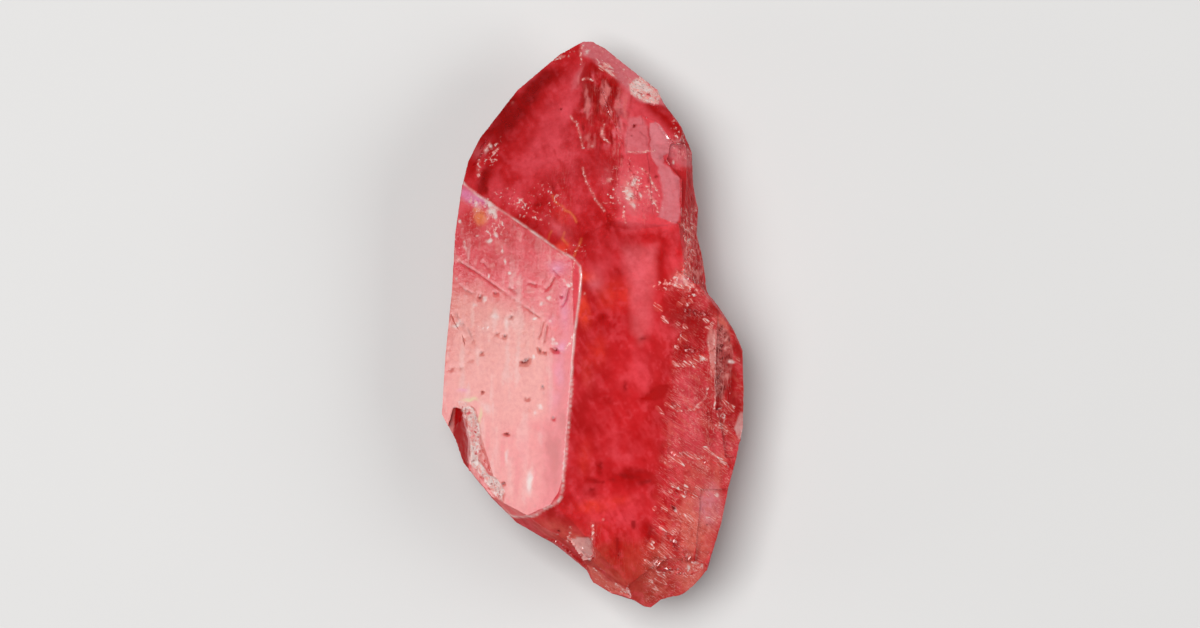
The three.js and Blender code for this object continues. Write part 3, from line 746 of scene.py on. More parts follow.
def fine_mesh(points, triangles, settings):
    """The same solid in small even triangles: each flat face's border is divided and its inside filled."""
    face, borders, owners = flat_faces(points, triangles)
    outward = cross_products(points, triangles)
    rim_points, chains = divided_borders(points, borders, settings)
    grown = [rim_points]
    made = []
    total = len(rim_points)
    for number in np.unique(face):
        members = outward[face == number]
        normal = members[np.argmax(np.linalg.norm(members, axis=1))]
        normal = normal / np.linalg.norm(normal)
        mine = np.flatnonzero((owners == number).any(axis=1))
        used = np.unique(np.concatenate([chains[index] for index in mine]))
        place = {point: index for index, point in enumerate(used)}
        pairs = [pair for index in mine for pair in zip(chains[index][:-1], chains[index][1:])]
        links = [(place[first], place[second]) for first, second in pairs]
        filling, found = filled_face(rim_points[used], points[borders[mine]], links, normal, settings)
        names = np.concatenate((used, np.arange(total, total + len(filling))))
        made.append(names[found])
        grown.append(filling)
        total += len(filling)
    return np.vstack(grown), np.vstack(made)


def point_normals(points, triangles):
    """Each point's outward direction: the sum of its triangles' cross products, made one long."""
    outward = cross_products(points, triangles)
    normals = np.zeros_like(points)
    for corner in range(3):
        np.add.at(normals, triangles[:, corner], outward)
    return normals / np.maximum(np.linalg.norm(normals, axis=1, keepdims=True), 1e-20)


# Painting: the crystal's colour and gloss, worked out at every point


class Surface:
    """The fine mesh's points in mm, with the fields that several marks use.

    The places loose, near and rough are moved by wide and small noise, so that outlines drawn on them waver.
    """

    def __init__(self, points, normals):
        self.points = points
        self.xy = points[:, :2]
        self.normals = normals
        self.front = smooth(normals[:, 2], 0.02, 0.2)
        wide = np.stack((noise(points, 0.7, 1), noise(points, 0.7, 2)), axis=1)
        small = np.stack((noise(points, 0.2, 3), noise(points, 0.2, 4)), axis=1)
        self.loose = self.xy + 0.16 * wide + 0.05 * small
        self.near = self.xy + 0.025 * wide + 0.015 * small
        self.rough = self.xy + 0.02 * wide + 0.05 * small
        self.left_face = inside(self.xy, LEFT_FACE, 0.03) * self.front
        # The milky part: partly the face's own milky colour and partly painted sheen
        self.milky_sheen = inside(self.loose, MILKY_SHEEN_PART, 0.9) * self.left_face
        self.torn = torn_ground(self)


def crushed_rims(s, soft):
    """The crushed rim at the lower left and the crushed apex, whose outline is 0.02 mm softer."""
    return np.maximum(inside(s.near, CRUSHED_RIM, soft), inside(s.near, APEX_CRUSH, soft + 0.02))


def torn_ground(s):
    """Where the surface is broken rather than grown, from 0 to 1.

    That's the right side, the crinkled strip, the crushed rims and parts of the tip in front, patches of the
    back, and steep walls.
    """
    side = inside(s.loose, TORN_SIDE, 0.35)
    strip = inside(s.loose, CRINKLED_STRIP, 0.2)
    crushed = crushed_rims(s, 0.08)
    columns = 0.35 * inside(s.loose, TIP_COLUMNS, 0.3)
    cluster = 0.6 * spot(s.loose, CLUSTER, 0.6, 0.8)
    front = np.maximum.reduce((0.8 * side, strip, crushed, columns, cluster)) * s.front
    back = smooth(-s.normals[:, 2], -0.1, 0.2) * smooth(cloud(s.points, 2.5, 61), -0.1, 0.35)
    walls = smooth(0.5 - np.abs(s.normals[:, 2]), 0.0, 0.3)
    return np.clip(np.maximum.reduce((front, 0.7 * back, 0.6 * walls)), 0.0, 1.0)


def lay(colour, tint, mask):
    """Lays a tint over the colours, as strongly as the mask says."""
    return colour + (np.array(tint) - colour) * np.clip(mask, 0.0, 1.0)[:, None]


def lay_pair(colour, field, high, low):
    """Two tints, one where a field is high and one where it's low.

    Each is given as tint, strength, and the values between which it sets in.
    """
    for (tint, strength, first, full), value in ((high, field), (low, -field)):
        colour = lay(colour, tint, strength * smooth(value, first, full))
    return colour


def strongest(s, table):
    """The strongest of a table's soft ovals at every point."""
    mask = np.zeros(len(s.points))
    for pixel, along, across, angle, strength in table:
        mask = np.maximum(mask, strength * spot(s.loose, pixel, along, across, angle))
    return mask


def ovals(s, table):
    """The strongest of a table's soft ovals at every point of the front."""
    return strongest(s, table) * s.front


def lay_clouds(colour, s, groups, reach):
    """Soft ovals of each group's tint, their outlines bent and their strength broken up by noise."""
    broken = 0.85 + 0.35 * cloud(s.points, 0.5, 71)
    for tint, table in groups:
        colour = lay(colour, tint, smooth(strongest(s, table) * broken, 0.0, 0.72) * reach)
    return colour


def mottled_body(s, body):
    """The body's colour with wide mottling, the soft clouds, and then slanting fibres and small flecks.

    Pale fibres and flecks are held back on the dark ovals.
    """
    colour = np.tile(np.array(body), (len(s.points), 1))
    colour = lay_pair(colour, cloud(s.points, 1.3, 11), (CRIMSON, 0.6, 0.0, 0.55), (ROSE, 0.5, 0.0, 0.6))
    colour = lay_clouds(colour, s, CLOUDS, s.front)
    light = 1.0 - 0.9 * np.clip(ovals(s, DEEP_OVALS + DARKEST_OVALS), 0.0, 1.0)
    fibres = cloud(stretched(s.points, -62, 2.2, 0.7), 0.26, 12)
    colour = lay_pair(colour, fibres, (CRIMSON, 0.3, 0.05, 0.5), (ROSE, 0.25 * light, 0.05, 0.5))
    flecks = cloud(s.points, 0.3, 14)
    return lay_pair(colour, flecks, (CRIMSON, 0.3, 0.2, 0.6), (ROSE, 0.35 * light, 0.25, 0.6))


def paint_tip(colour, s):
    """The tip's columns: dark and pale upright waves, then the pale and the dark columns one by one."""
    columns = inside(s.loose, TIP_COLUMNS, 0.25) * s.front
    bent = s.points + 0.25 * noise(s.points, 0.6, 5)[:, None]
    waves = cloud(stretched(bent, UPRIGHT_ANGLE, 3.2, 0.8), 0.42, 13)
    waves = waves + 0.3 * smooth(s.xy[:, 1], 7.5, 10.5) - 0.12
    dark = (0.15 + 0.55 * smooth(s.loose[:, 1], 8.2, 9.6)) * columns
    colour = lay_pair(colour, waves, (GARNET, dark, 0.0, 0.35), (ROSE, 0.9 * columns, 0.05, 0.35))
    colour = lay(colour, DUSK, 0.45 * columns * smooth(-waves, 0.2, 0.5))
    streaky = 1.0 + 0.9 * cloud(stretched(s.points, 86, 2.5, 0.6), 0.2, 15)
    pale = smooth(ovals(s, PALE_COLUMNS) * streaky, 0.2, 0.8)
    colour = lay(colour, DUSK, 0.8 * pale)
    colour = lay(colour, SALMON, 0.5 * pale)
    return lay(colour, CRIMSON, 0.8 * smooth(ovals(s, DARK_COLUMNS) * streaky, 0.15, 0.75))


def paint_patches(colour, s):
    """The flat patches, the tip cluster's halo and pale heart, a painted highlight, and painted shade on the
    walls beside it.
    """
    broken = 0.93 + 0.2 * cloud(s.points, 0.4, 75)
    for tint, strength, soft, outline in PATCHES:
        colour = lay(colour, tint, strength * inside(s.rough, outline, soft) * broken * s.front)
    # Painted highlight: the pink halo and shell heart of the tip's sparkling cluster
    colour = lay(colour, PINK, ovals(s, HALO) * (0.9 + 0.4 * cloud(s.points, 0.3, 76)))
    colour = lay(colour, SHELL, 0.7 * spot(s.loose, CLUSTER_HEART, 0.2, 0.5, 8) * s.front)
    # Painted shade: the steep walls beside the tip are darkened by how steep they are
    walls = smooth(0.6 - s.normals[:, 2], 0.0, 0.3) * s.front
    return lay(colour, GARNET, 0.25 * walls * inside(s.loose, TIP_WALL, 0.3))


def paint_torn(colour, s):
    """Torn ground: pale feathery ridges, painted shade in the hollows between, and grains where the surface
    is crushed.
    """
    flat = s.torn * smooth(np.abs(s.normals[:, 2]), 0.3, 0.6) * (1.0 - 0.8 * ovals(s, DEEP_OVALS))
    # Painted shade: crimson where the feathers are low, which is where the relief sinks them
    colour = lay_pair(colour, feathers(s), (SALMON, 0.45 * flat, 0.1, 0.5), (CRIMSON, 0.4 * flat, 0.2, 0.6))
    grains = cloud(s.points, 0.22, 43)
    crushed = crushed_rims(s, 0.06) * s.front
    colour = lay(colour, SHELL, crushed)
    colour = lay_pair(colour, grains, (FROST_AND_GLINT, crushed, -0.4, 0.2), (ROSE, crushed, 0.25, 0.6))
    strip = inside(s.loose, CRINKLED_STRIP, 0.15) * s.front
    colour = lay_pair(colour, grains, (SHELL, 0.5 * strip, 0.15, 0.5), (CRIMSON, 0.8 * strip, 0.15, 0.5))
    groove = inside(s.near, DARK_GROOVE, 0.06) * s.front
    return lay_pair(colour, grains, (SHELL, groove, 0.1, 0.5), (WINE, 0.9 * groove, 0.15, 0.5))


def paint_left_face(colour, s, milk_and_sheen):
    """The pale left face: rose under a milky lower part that is partly painted sheen, with streaks down its
    length and its tints.
    """
    # Painted reflection: the milky paint stands in partly for the sheen of the left light
    face = lay(np.tile(np.array(ROSE), (len(colour), 1)), milk_and_sheen, s.milky_sheen)
    upper = 1.0 - s.milky_sheen
    speckle = cloud(s.points, 0.35, 51)
    face = lay_pair(face, speckle, (SHELL, 0.4 * upper, 0.2, 0.65), (BODY, 0.55 * upper, 0.05, 0.6))
    streaks = cloud(stretched(s.points, 87, 4.0, 0.8), 0.4, 52)
    lower = smooth(-s.xy[:, 1], 3.5, 5.5)
    face = lay_pair(face, streaks, (ROSE, 0.5 * lower, 0.0, 0.5), (FROST_AND_GLINT, 0.25, 0.2, 0.6))
    beside = path_distance(s.loose, on_crystal(LEFT_FACE_EDGE))
    face = lay(face, ROSE, 0.85 * (1.0 - smooth(beside, 0.1, 1.3)))
    face = lay(face, ROSE, 0.3 * smooth(-s.loose[:, 1], 0.5, 7.0))
    face = lay_clouds(face, s, FACE_CLOUDS, 1.0)
    bare = 1.0 - np.maximum(inside(s.near, CRUSHED_RIM, 0.05), inside(s.near, CHIP, 0.03))
    return colour + (face - colour) * (s.left_face * bare)[:, None]


def paint_marks(colour, s):
    """Spots with ragged edges, then lines that fade in places, the bright ones thinned to 0.7 under their
    painted sparkles.
    """
    shards = 0.75 + 0.6 * cloud(s.points, 0.16, 74)
    for tint, strength, spots in SPOTS:
        for pixel, along, across, angle in spots:
            mask = smooth(spot(s.near, pixel, along, across, angle) * shards, 0.1, 0.8)
            colour = lay(colour, tint, strength * mask * s.front)
    fade = 0.35 + 0.65 * smooth(cloud(s.points, 0.35, 73), -0.6, 0.35)
    # The bright lines: pale lines along which painted sparkles, painted highlights, also go
    bright = tuple((SHELL, 0.5, 0.7 * width, paths) for width, paths in BRIGHT_LINES)
    for tint, strength, width, paths in LINES + bright:
        for path in paths:
            colour = lay(colour, tint, strength * line(s.near, path, width) * fade * s.front)
    return colour


def painted(s, settings):
    """The colour at every point, each layer laid over the ones before it."""
    colour = mottled_body(s, settings.body)
    colour = paint_tip(colour, s)
    colour = paint_patches(colour, s)
    colour = paint_torn(colour, s)
    colour = lay(colour, CRIMSON, 0.6 * ovals(s, DEEP_OVALS) * smooth(s.torn, 0.2, 0.6))
    colour = paint_left_face(colour, s, settings.milk_and_sheen)
    return paint_marks(colour, s)


def sparkle_mask(s):
    """Painted sparkles, painted highlights: soft ovals, crushed rims, the crinkled strip and broken bright
    lines.
    """
    mask = ovals(s, SPARKLES)
    mask = np.maximum(mask, crushed_rims(s, 0.06) * s.front)
    mask = np.maximum(mask, 0.3 * inside(s.loose, CRINKLED_STRIP, 0.12) * s.front)
    mask = np.maximum(mask, 0.2 * inside(s.rough, APEX_RIM, 0.1) * s.front)
    for width, paths in BRIGHT_LINES:
        for path in paths:
            mask = np.maximum(mask, 0.8 * line(s.near, path, width) * s.front)
    return mask


def streaked(s):
    """The torn side, where thin slanting lines show, but for its glassy pane and its dark corner."""
    plain = spot(s.loose, GLASSY_PANE, 0.35, 1.1) + ovals(s, DEEP_OVALS)
    return inside(s.loose, TORN_SIDE, 0.3) * np.clip(1.0 - plain, 0.0, 1.0) * s.front


def glint_mask(s):
    """The short painted glints, painted highlights: soft strokes, widest in the middle.

    A sine of its number gives each stroke a brightness from 0.6 to 1.
    """
    mask = np.zeros(len(s.points))
    for index, (x1, y1, x2, y2) in enumerate(GLINTS):
        start, end = on_crystal(((x1, y1), (x2, y2)))
        way = end - start
        length = np.linalg.norm(way)
        t = ((s.near - start) @ way) / length**2
        away = (s.near[:, 0] - start[0]) * way[1] - (s.near[:, 1] - start[1]) * way[0]
        width = GLINT_WIDTH * np.sqrt(np.clip(1.2 - (2.0 * t - 1.0) ** 2, 0.0, 1.2))
        bright = 0.8 + 0.2 * math.sin(index * 2.4)
        stroke = np.exp(-(away / length / np.maximum(width, 1e-3)) ** 2) * (width > 0.0)
        mask = np.maximum(mask, bright * stroke)
    return mask * s.front


def feathers(s):
    """Noise drawn out into short slanting feathers, down to the right."""
    return cloud(stretched(s.points, FEATHER_ANGLE, 2.6, 0.5), 0.34, 42)


def relief(s):
    """Height in mm over the plain solid, never above it, and 0 where the crystal rests.

    Faint growth waves, then ripples and pits on torn ground, dark pits 0.03 deep and cracks 0.006 deep.
    Last come the rounded edges, whose depth falls off with the square of the distance.
    """
    grown = 0.01 * cloud(stretched(s.points, 86, 4.0), 0.8, 41) - 0.01
    pits = smooth(cloud(s.points, 0.22, 43), -0.2, 0.7)
    ragged = -0.04 * smooth(-feathers(s), -0.4, 0.7) - 0.02 * pits
    height = np.where(s.left_face > 0.5, 0.35, 1.0) * grown + s.torn * ragged
    for pixel, along, across, angle in PITS:
        height = height - 0.03 * spot(s.near, pixel, along, across, angle) * s.front
    for path in CRACKS:
        height = height - 0.006 * line(s.near, path, 0.05) * s.front
    for path, reach, depth in ROUNDED:
        near = np.clip(1.0 - path_distance(s.xy, on_crystal(path)) / reach, 0.0, 1.0)
        height = height - depth * near**2 * s.front * (1.0 - s.left_face)
    resting = smooth(s.points[:, 2], 0.05, 0.3)
    return np.minimum(height, 0.0) * resting


def fine_crystal(settings):
    """The crystal's mesh in metres with its painted attributes."""
    points, triangles = fine_mesh(*node_triangles(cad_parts["crystal"]), settings)
    normals = point_normals(points, triangles)
    surface = Surface(points, normals)
    colour = painted(surface, settings)
    points = points + normals * relief(surface)[:, None]
    masks = {
        "torn": surface.torn,
        "face": surface.left_face,
        # The glint and sparkle masks carry painted highlights
        "glint": glint_mask(surface),
        "sparkle": sparkle_mask(surface),
        "ribbed": ovals(surface, RIBBED),
        "side": streaked(surface),
    }
    return points * MM, triangles, colour, masks


def leaning_normals(mesh):
    """Corner normals in which steep front faces lean up, as worn and finely stepped ones catch the light."""
    normals = np.empty(len(mesh.loops) * 3)
    mesh.corner_normals.foreach_get("vector", normals)
    normals = normals.reshape(-1, 3)
    steep = smooth(normals[:, 2], 0.0, 0.1) * (1.0 - smooth(normals[:, 2], 0.45, 0.8))
    normals[:, 2] += LEAN * steep
    return (normals / np.linalg.norm(normals, axis=1, keepdims=True)).tolist()


def new_mesh(name, points, triangles, colour, masks):
    """A mesh from arrays, with its colour and masks as attributes, smooth but for its sharp edges."""
    mesh = bpy.data.meshes.new(name)
    mesh.vertices.add(len(points))
    mesh.vertices.foreach_set("co", points.reshape(-1))
    mesh.loops.add(triangles.size)
    mesh.loops.foreach_set("vertex_index", triangles.astype(np.int32).reshape(-1))
    mesh.polygons.add(len(triangles))
    mesh.polygons.foreach_set("loop_start", np.arange(0, triangles.size, 3, dtype=np.int32))
    mesh.update(calc_edges=True)
    mesh.validate()
    mesh.polygons.foreach_set("use_smooth", np.ones(len(mesh.polygons), dtype=bool))
    mesh.set_sharp_from_angle(angle=math.radians(SHARP_ANGLE))
    mesh.normals_split_custom_set(leaning_normals(mesh))
    paint = np.concatenate((colour, np.ones((len(colour), 1))), axis=1).astype(np.float32)
    mesh.attributes.new("paint", "FLOAT_COLOR", "POINT").data.foreach_set("color", paint.reshape(-1))
    for key, values in masks.items():
        mesh.attributes.new(key, "FLOAT", "POINT").data.foreach_set("value", values.astype(np.float32))
    return mesh


# Materials


def new_node(tree, kind, inputs=None, **properties):
    """A new node in the tree with its properties set, and its inputs set to values or linked to sockets."""
    node = tree.nodes.new(kind)
    for name, value in properties.items():
        setattr(node, name, value)
    for name, value in (inputs or {}).items():
        if isinstance(value, bpy.types.NodeSocket):
            tree.links.new(value, node.inputs[name])
        else:
            node.inputs[name].default_value = value
    return node


def attribute(tree, name, output="Fac"):
    """One of the mesh's painted attributes, as a socket."""
    return new_node(tree, "ShaderNodeAttribute", attribute_name=name).outputs[output]


def blend(tree, factor, first, second):
    """Mix of two colours, as a socket."""
    return new_node(tree, "ShaderNodeMix", {0: factor, 6: first, 7: second}, data_type="RGBA").outputs[2]


def calculate(tree, operation, first, second=0.5, third=0.5):
    """One step of arithmetic, as a socket."""
    inputs = {0: first, 1: second, 2: third}
    return new_node(tree, "ShaderNodeMath", inputs, operation=operation).outputs[0]


def product(tree, first, second, third):
    """Three values multiplied together, as a socket."""
    return calculate(tree, "MULTIPLY", calculate(tree, "MULTIPLY", first, second), third)


def tint_over(tree, colour, tint, factor):
    """A plain tint laid over a colour, as strongly as the factor says, as a socket."""
    return blend(tree, factor, colour, (*tint, 1.0))


def step_between(tree, value, low, high):
    """0 at low, 1 at high and a smooth step between them, as a socket."""
    inputs = {"Value": value, "From Min": low, "From Max": high}
    return new_node(
        tree, "ShaderNodeMapRange", inputs, interpolation_type="SMOOTHSTEP"
    ).outputs["Result"]


def grain(tree, place, scale, detail, roughness=0.5):
    """Noise with that many cells in a metre, as a socket."""
    inputs = {"Vector": place, "Scale": scale, "Detail": detail, "Roughness": roughness}
    return new_node(tree, "ShaderNodeTexNoise", inputs).outputs["Fac"]


def hairlines(tree, place, angle, length, spacing, width, detail=1.0):
    """Thin lines along angle in degrees, as a socket: 1 where a noise passes its middle value, 0 elsewhere.

    The noise's cells are as long as length and as wide as spacing, in mm.
    """
    inputs = {
        "Vector": place,
        "Rotation": (0.0, 0.0, math.radians(angle)),
        "Scale": (length * MM, spacing * MM, 0.5 * MM),
    }
    turned = new_node(tree, "ShaderNodeMapping", inputs, vector_type="TEXTURE").outputs["Vector"]
    value = grain(tree, turned, 1.0, detail)
    away = calculate(tree, "ABSOLUTE", calculate(tree, "SUBTRACT", value, 0.5))
    return calculate(tree, "SUBTRACT", 1.0, step_between(tree, away, 0.0, width))


def crystal_colour(tree, place, fine):
    """The painted colour with grain, hairlines, ribs, sparkles, tufts and glints over it, as a socket."""
    # The sparkles, tufts and glints below are painted highlights; the dark specks in dents and hollows are
    # painted shade
    paint = attribute(tree, "paint", "Color")
    side, ribbed, sparkle, glint = (attribute(tree, name) for name in ("side", "ribbed", "sparkle", "glint"))
    grainy = calculate(tree, "MAXIMUM", calculate(tree, "MULTIPLY_ADD", fine, 1.6, -0.62), 0.0)
    colour = blend(tree, grainy, paint, tint_over(tree, paint, CRIMSON, 0.5))
    slanting = hairlines(tree, place, FEATHER_ANGLE, 0.6, 0.1, 0.03)
    colour = tint_over(tree, colour, SHELL, product(tree, side, slanting, 0.45))
    upright = hairlines(tree, place, UPRIGHT_ANGLE, 0.9, 0.09, 0.035)
    colour = tint_over(tree, colour, SHELL, product(tree, ribbed, upright, 0.7))
    flecks = grain(tree, place, FLECK_SCALE, 3.0, 0.6)
    # Painted shade: dark specks in the ribs' dents
    painted_dent_shade = product(tree, ribbed, step_between(tree, flecks, 0.48, 0.36), 0.5)
    colour = tint_over(tree, colour, GARNET, painted_dent_shade)
    # Painted highlights: pale specks wherever the sparkle mask is strong
    shine = step_between(tree, calculate(tree, "MULTIPLY_ADD", sparkle, 0.2, flecks), 0.62, 0.74)
    shine = product(tree, shine, step_between(tree, sparkle, 0.05, 0.35), 0.9)
    pale = blend(tree, step_between(tree, fine, 0.45, 0.6), (*SHELL, 1.0), (*FROST_AND_GLINT, 1.0))
    colour = blend(tree, shine, colour, pale)
    # Painted shade: dark specks in the hollows between the painted sparkles
    shaded_hollows = step_between(tree, flecks, 0.44, 0.32)
    painted_hollow_shade = product(tree, step_between(tree, sparkle, 0.1, 0.6), shaded_hollows, 0.7)
    colour = tint_over(tree, colour, CRIMSON, painted_hollow_shade)
    # Painted highlights: tufts of thin pale glint strokes on the torn side
    tufts = step_between(tree, grain(tree, place, TUFT_SCALE, 1.0), 0.5, 0.6)
    tufts = calculate(tree, "MULTIPLY", tufts, side)
    loose = hairlines(tree, place, FEATHER_ANGLE - 2.0, 0.45, 0.09, 0.03)
    colour = tint_over(tree, colour, SHELL, product(tree, loose, tufts, 0.8))
    # Painted highlights: a salmon glow round each painted glint, then its pale strokes
    glow = calculate(tree, "MULTIPLY", step_between(tree, glint, 0.1, 0.7), 0.25)
    colour = tint_over(tree, colour, SALMON, glow)
    strokes = hairlines(tree, place, FEATHER_ANGLE, 1.0, 0.1, 0.1, detail=0.0)
    strokes = calculate(tree, "MULTIPLY", step_between(tree, glint, 0.3, 0.6), strokes)
    return blend(tree, strokes, colour, pale)


def crystal_material(settings):
    """Clear red crystal, cloudy inside, with a fine bump: glossy where grown and rougher where torn."""
    material = bpy.data.materials.new("pyroxmangite")
    material.use_nodes = True
    tree = material.node_tree
    tree.nodes.clear()
    place = new_node(tree, "ShaderNodeTexCoord").outputs["Object"]
    fine = grain(tree, place, GRAIN_SCALE, 5.0, 0.6)
    rough = calculate(tree, "MULTIPLY_ADD", attribute(tree, "torn"), 0.12, settings.gloss)
    rough = calculate(tree, "MULTIPLY_ADD", attribute(tree, "face"), -0.06, rough)
    bump = new_node(tree, "ShaderNodeBump", {"Height": fine, "Strength": 0.15, "Distance": 0.03 * MM})
    surface = {
        "Base Color": crystal_colour(tree, place, fine),
        "Roughness": rough,
        "Normal": bump.outputs["Normal"],
        "IOR": settings.ior,
        "Transmission Weight": settings.clear,
    }
    shader = new_node(tree, "ShaderNodeBsdfPrincipled", surface)
    inner = {"Color": (*settings.absorbed, 1.0), "Density": settings.density}
    body = new_node(tree, "ShaderNodeVolumeAbsorption", inner)
    output = tree.nodes.new("ShaderNodeOutputMaterial")
    tree.links.new(shader.outputs["BSDF"], output.inputs["Surface"])
    tree.links.new(body.outputs["Volume"], output.inputs["Volume"])
    return material


def floor_material(settings):
    """A plain matt pale finish with a faint mottle."""
    material = bpy.data.materials.new("pale_floor")
    material.use_nodes = True
    tree = material.node_tree
    shader = tree.nodes["Principled BSDF"]
    place = new_node(tree, "ShaderNodeTexCoord").outputs["Object"]
    mottle = grain(tree, place, 60.0, 3.0)
    shade = tuple(0.97 * part for part in settings.floor_colour)
    tint = blend(tree, mottle, (*settings.floor_colour, 1.0), (*shade, 1.0))
    tree.links.new(tint, shader.inputs["Base Color"])
    shader.inputs["Roughness"].default_value = 0.6
    return material


# The studio


def soft_light(name, aim, direction, distance, size, power, roll=0.0):
    """A soft rectangular light that faces aim, in mm, from that distance in metres.

    It's rolled about its own axis, in degrees.
    """
    light = bpy.data.lights.new(name, "AREA")
    light.shape = "RECTANGLE"
    light.size, light.size_y = size
    light.energy = power
    holder = bpy.data.objects.new(name, light)
    way = Vector(direction).normalized()
    holder.location = Vector(aim) * MM + way * distance
    turn = Quaternion((0.0, 0.0, 1.0), math.radians(roll))
    holder.rotation_euler = (way.to_track_quat("Z", "Y") @ turn).to_euler()
    holder.visible_camera = False
    bpy.context.scene.collection.objects.link(holder)
    return holder


def make_floor(settings):
    """A wide flat floor just under the crystal's resting face."""
    half = settings.floor_size / 2
    z = -0.01 * MM
    corners = [(-half, -half, z), (half, -half, z), (half, half, z), (-half, half, z)]
    mesh = bpy.data.meshes.new("floor")
    mesh.from_pydata(corners, [], [(0, 1, 2, 3)])
    mesh.materials.append(floor_material(settings))
    floor = bpy.data.objects.new("floor", mesh)
    bpy.context.scene.collection.objects.link(floor)


def make_camera(settings):
    """A long lens straight above, framed so that the crystal's widest part lies as in the photograph."""
    camera = bpy.data.cameras.new("camera")
    camera.sensor_width = 36.0
    camera.lens = settings.lens
    width = PHOTO_SIZE[0] * MM_PER_PIXEL * MM
    distance = width * camera.lens / camera.sensor_width
    x, y = on_crystal((PHOTO_SIZE[0] / 2, PHOTO_SIZE[1] / 2)) * MM
    holder = bpy.data.objects.new("camera", camera)
    holder.location = (x, y, GIRDLE * MM + distance)
    camera.clip_start = 0.01
    camera.clip_end = 10.0
    bpy.context.scene.collection.objects.link(holder)
    bpy.context.scene.camera = holder


def make_world(settings):
    """An even, dim, pale surrounding light."""
    world = bpy.data.worlds.new("studio")
    world.use_nodes = True
    background = world.node_tree.nodes["Background"]
    background.inputs["Color"].default_value = (*settings.world_colour, 1.0)
    background.inputs["Strength"].default_value = settings.world_strength
    bpy.context.scene.world = world


# Settings, operators and panel


class CrystalSettings(bpy.types.PropertyGroup):
    """Mesh sizes, main colours and finish of the crystal."""

    body: bpy.props.FloatVectorProperty(
        name="Body", description="Main colour, under the clouds and marks", default=BODY,
        subtype="COLOR", min=0.0, max=1.0)
    # Partly painted sheen: the milky part's colour also stands in for the left face's sheen
    milk_and_sheen: bpy.props.FloatVectorProperty(
        name="Left Face", description="Colour of the left face's milky part", default=MILK_AND_SHEEN,
        subtype="COLOR", min=0.0, max=1.0)
    seen_cell: bpy.props.FloatProperty(
        name="Front Cell", description="Mesh spacing on the crystal's front, in millimetres", default=0.058)
    hidden_cell: bpy.props.FloatProperty(
        name="Back Cell", description="Mesh spacing on the crystal's back, in millimetres", default=0.1)
    absorbed: bpy.props.FloatVectorProperty(
        name="Inside", description="Colour that the inside lets through", default=(0.99, 0.42, 0.45),
        subtype="COLOR", min=0.0, max=1.0)
    density: bpy.props.FloatProperty(
        name="Density", description="How strongly the inside absorbs", default=800.0)
    clear: bpy.props.FloatProperty(
        name="Clearness", description="Share of light that enters the crystal", default=0.45,
        min=0.0, max=1.0, subtype="FACTOR")
    gloss: bpy.props.FloatProperty(
        name="Roughness", description="Roughness of the grown faces", default=0.16, min=0.0, max=1.0,
        subtype="FACTOR")
    ior: bpy.props.FloatProperty(name="Refraction", description="Index of refraction", default=1.73)


class StageSettings(bpy.types.PropertyGroup):
    """Floor, camera and lights."""

    floor_size: bpy.props.FloatProperty(
        name="Floor", description="Width of the floor", default=1.2, unit="LENGTH")
    floor_colour: bpy.props.FloatVectorProperty(
        name="Floor Colour", description="Colour of the floor", default=(0.5, 0.495, 0.49), subtype="COLOR",
        min=0.0, max=1.0)
    lens: bpy.props.FloatProperty(name="Lens", description="Focal length in millimetres", default=180.0)
    world_colour: bpy.props.FloatVectorProperty(
        name="Surroundings", description="Colour of the light all round", default=(1.0, 0.99, 0.98),
        subtype="COLOR", min=0.0, max=1.0)
    world_strength: bpy.props.FloatProperty(
        name="Surround Light", description="Strength of the light all round", default=0.07)
    key_power: bpy.props.FloatProperty(
        name="Top Light", description="Power of the light above", default=4.4, unit="POWER")
    fill_power: bpy.props.FloatProperty(
        name="Right Light", description="Power of the soft light at the right", default=1.35, unit="POWER")
    sheen_power: bpy.props.FloatProperty(
        name="Left Light", description="Power of the low light at the left", default=0.025, unit="POWER")


class PYROX_OT_crystal(bpy.types.Operator):
    """Build the fine crystal in place of the plain solid"""

    bl_idname = "pyrox.crystal"
    bl_label = "Build Crystal"

    def execute(self, context):
        settings = context.scene.pyrox_crystal
        mesh = new_mesh("gem", *fine_crystal(settings))
        mesh.materials.append(crystal_material(settings))
        gem = bpy.data.objects.new("gem", mesh)
        context.scene.collection.objects.link(gem)
        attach(gem, "root")
        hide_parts("crystal")
        print("gem triangles", len(mesh.polygons))
        return {"FINISHED"}


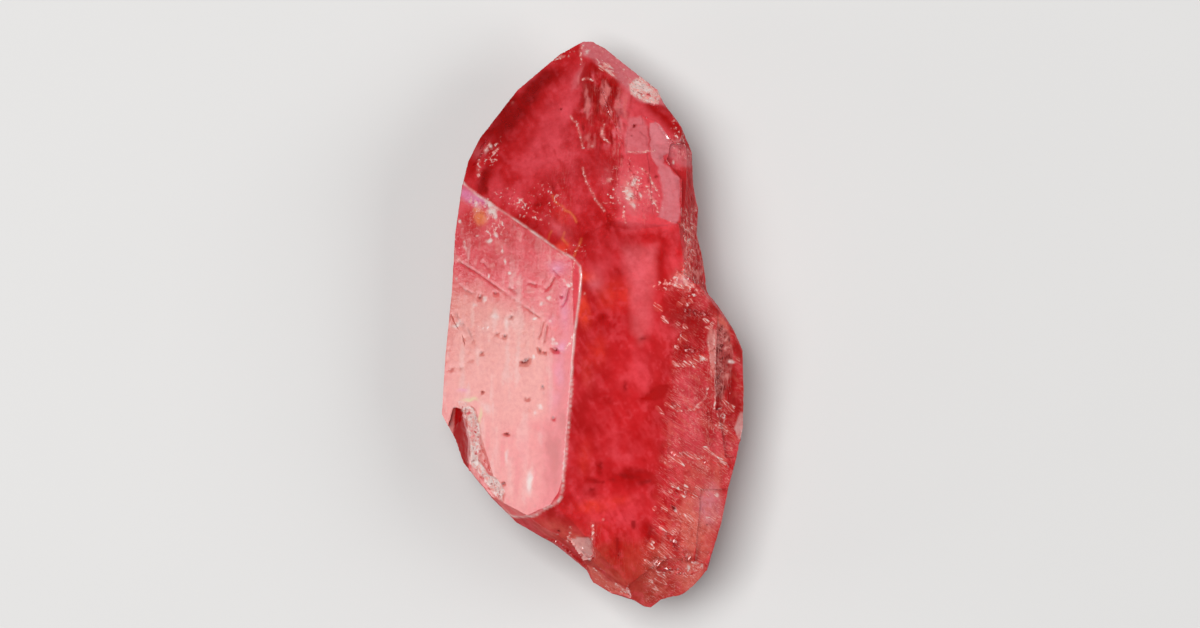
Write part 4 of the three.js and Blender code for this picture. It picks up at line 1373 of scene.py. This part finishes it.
class PYROX_OT_stage(bpy.types.Operator):
    """Set up the floor, the camera and the soft lights"""

    bl_idname = "pyrox.stage"
    bl_label = "Build Stage"

    def execute(self, context):
        settings = context.scene.pyrox_stage
        context.scene.view_settings.view_transform = "Standard"
        make_floor(settings)
        make_camera(settings)
        make_world(settings)
        soft_light(
            "top_light", aim=(0.0, 0.0, 5.0), direction=(-0.25, 0.12, 1.0), distance=0.6, size=(0.32, 0.32),
            power=settings.key_power)
        fill = soft_light(
            "right_light", aim=(3.0, 0.0, 5.0), direction=(0.75, -0.05, 0.65), distance=0.5, size=(0.3, 0.3),
            power=settings.fill_power)
        fill.visible_glossy = False
        fill.visible_transmission = False
        soft_light(
            "left_light", aim=(-3.5, -24.0, 6.0), direction=(-0.938, -0.0375, 0.3425), distance=0.16,
            size=(0.05, 0.05), power=settings.sheen_power, roll=25.0)
        return {"FINISHED"}


class PYROX_PT_panel(bpy.types.Panel):
    """The add-on's buttons and settings"""

    bl_label = "Pyroxmangite"
    bl_idname = "PYROX_PT_panel"
    bl_space_type = "VIEW_3D"
    bl_region_type = "UI"
    bl_category = "Pyroxmangite"

    def draw(self, context):
        for group, operator in (("pyrox_crystal", "pyrox.crystal"), ("pyrox_stage", "pyrox.stage")):
            column = self.layout.column()
            settings = getattr(context.scene, group)
            for name in settings.__annotations__:
                column.prop(settings, name)
            column.operator(operator)


CLASSES = (CrystalSettings, StageSettings, PYROX_OT_crystal, PYROX_OT_stage, PYROX_PT_panel)


def register():
    """Registers the add-on's classes and gives the scene its settings."""
    for cls in CLASSES:
        bpy.utils.register_class(cls)
    bpy.types.Scene.pyrox_crystal = bpy.props.PointerProperty(type=CrystalSettings)
    bpy.types.Scene.pyrox_stage = bpy.props.PointerProperty(type=StageSettings)


def unregister():
    """Takes back what register does."""
    del bpy.types.Scene.pyrox_stage
    del bpy.types.Scene.pyrox_crystal
    for cls in reversed(CLASSES):
        bpy.utils.unregister_class(cls)


def main():
    """Builds everything."""
    register()
    bpy.ops.pyrox.crystal()
    bpy.ops.pyrox.stage()


if __name__ == "__main__":
    main()
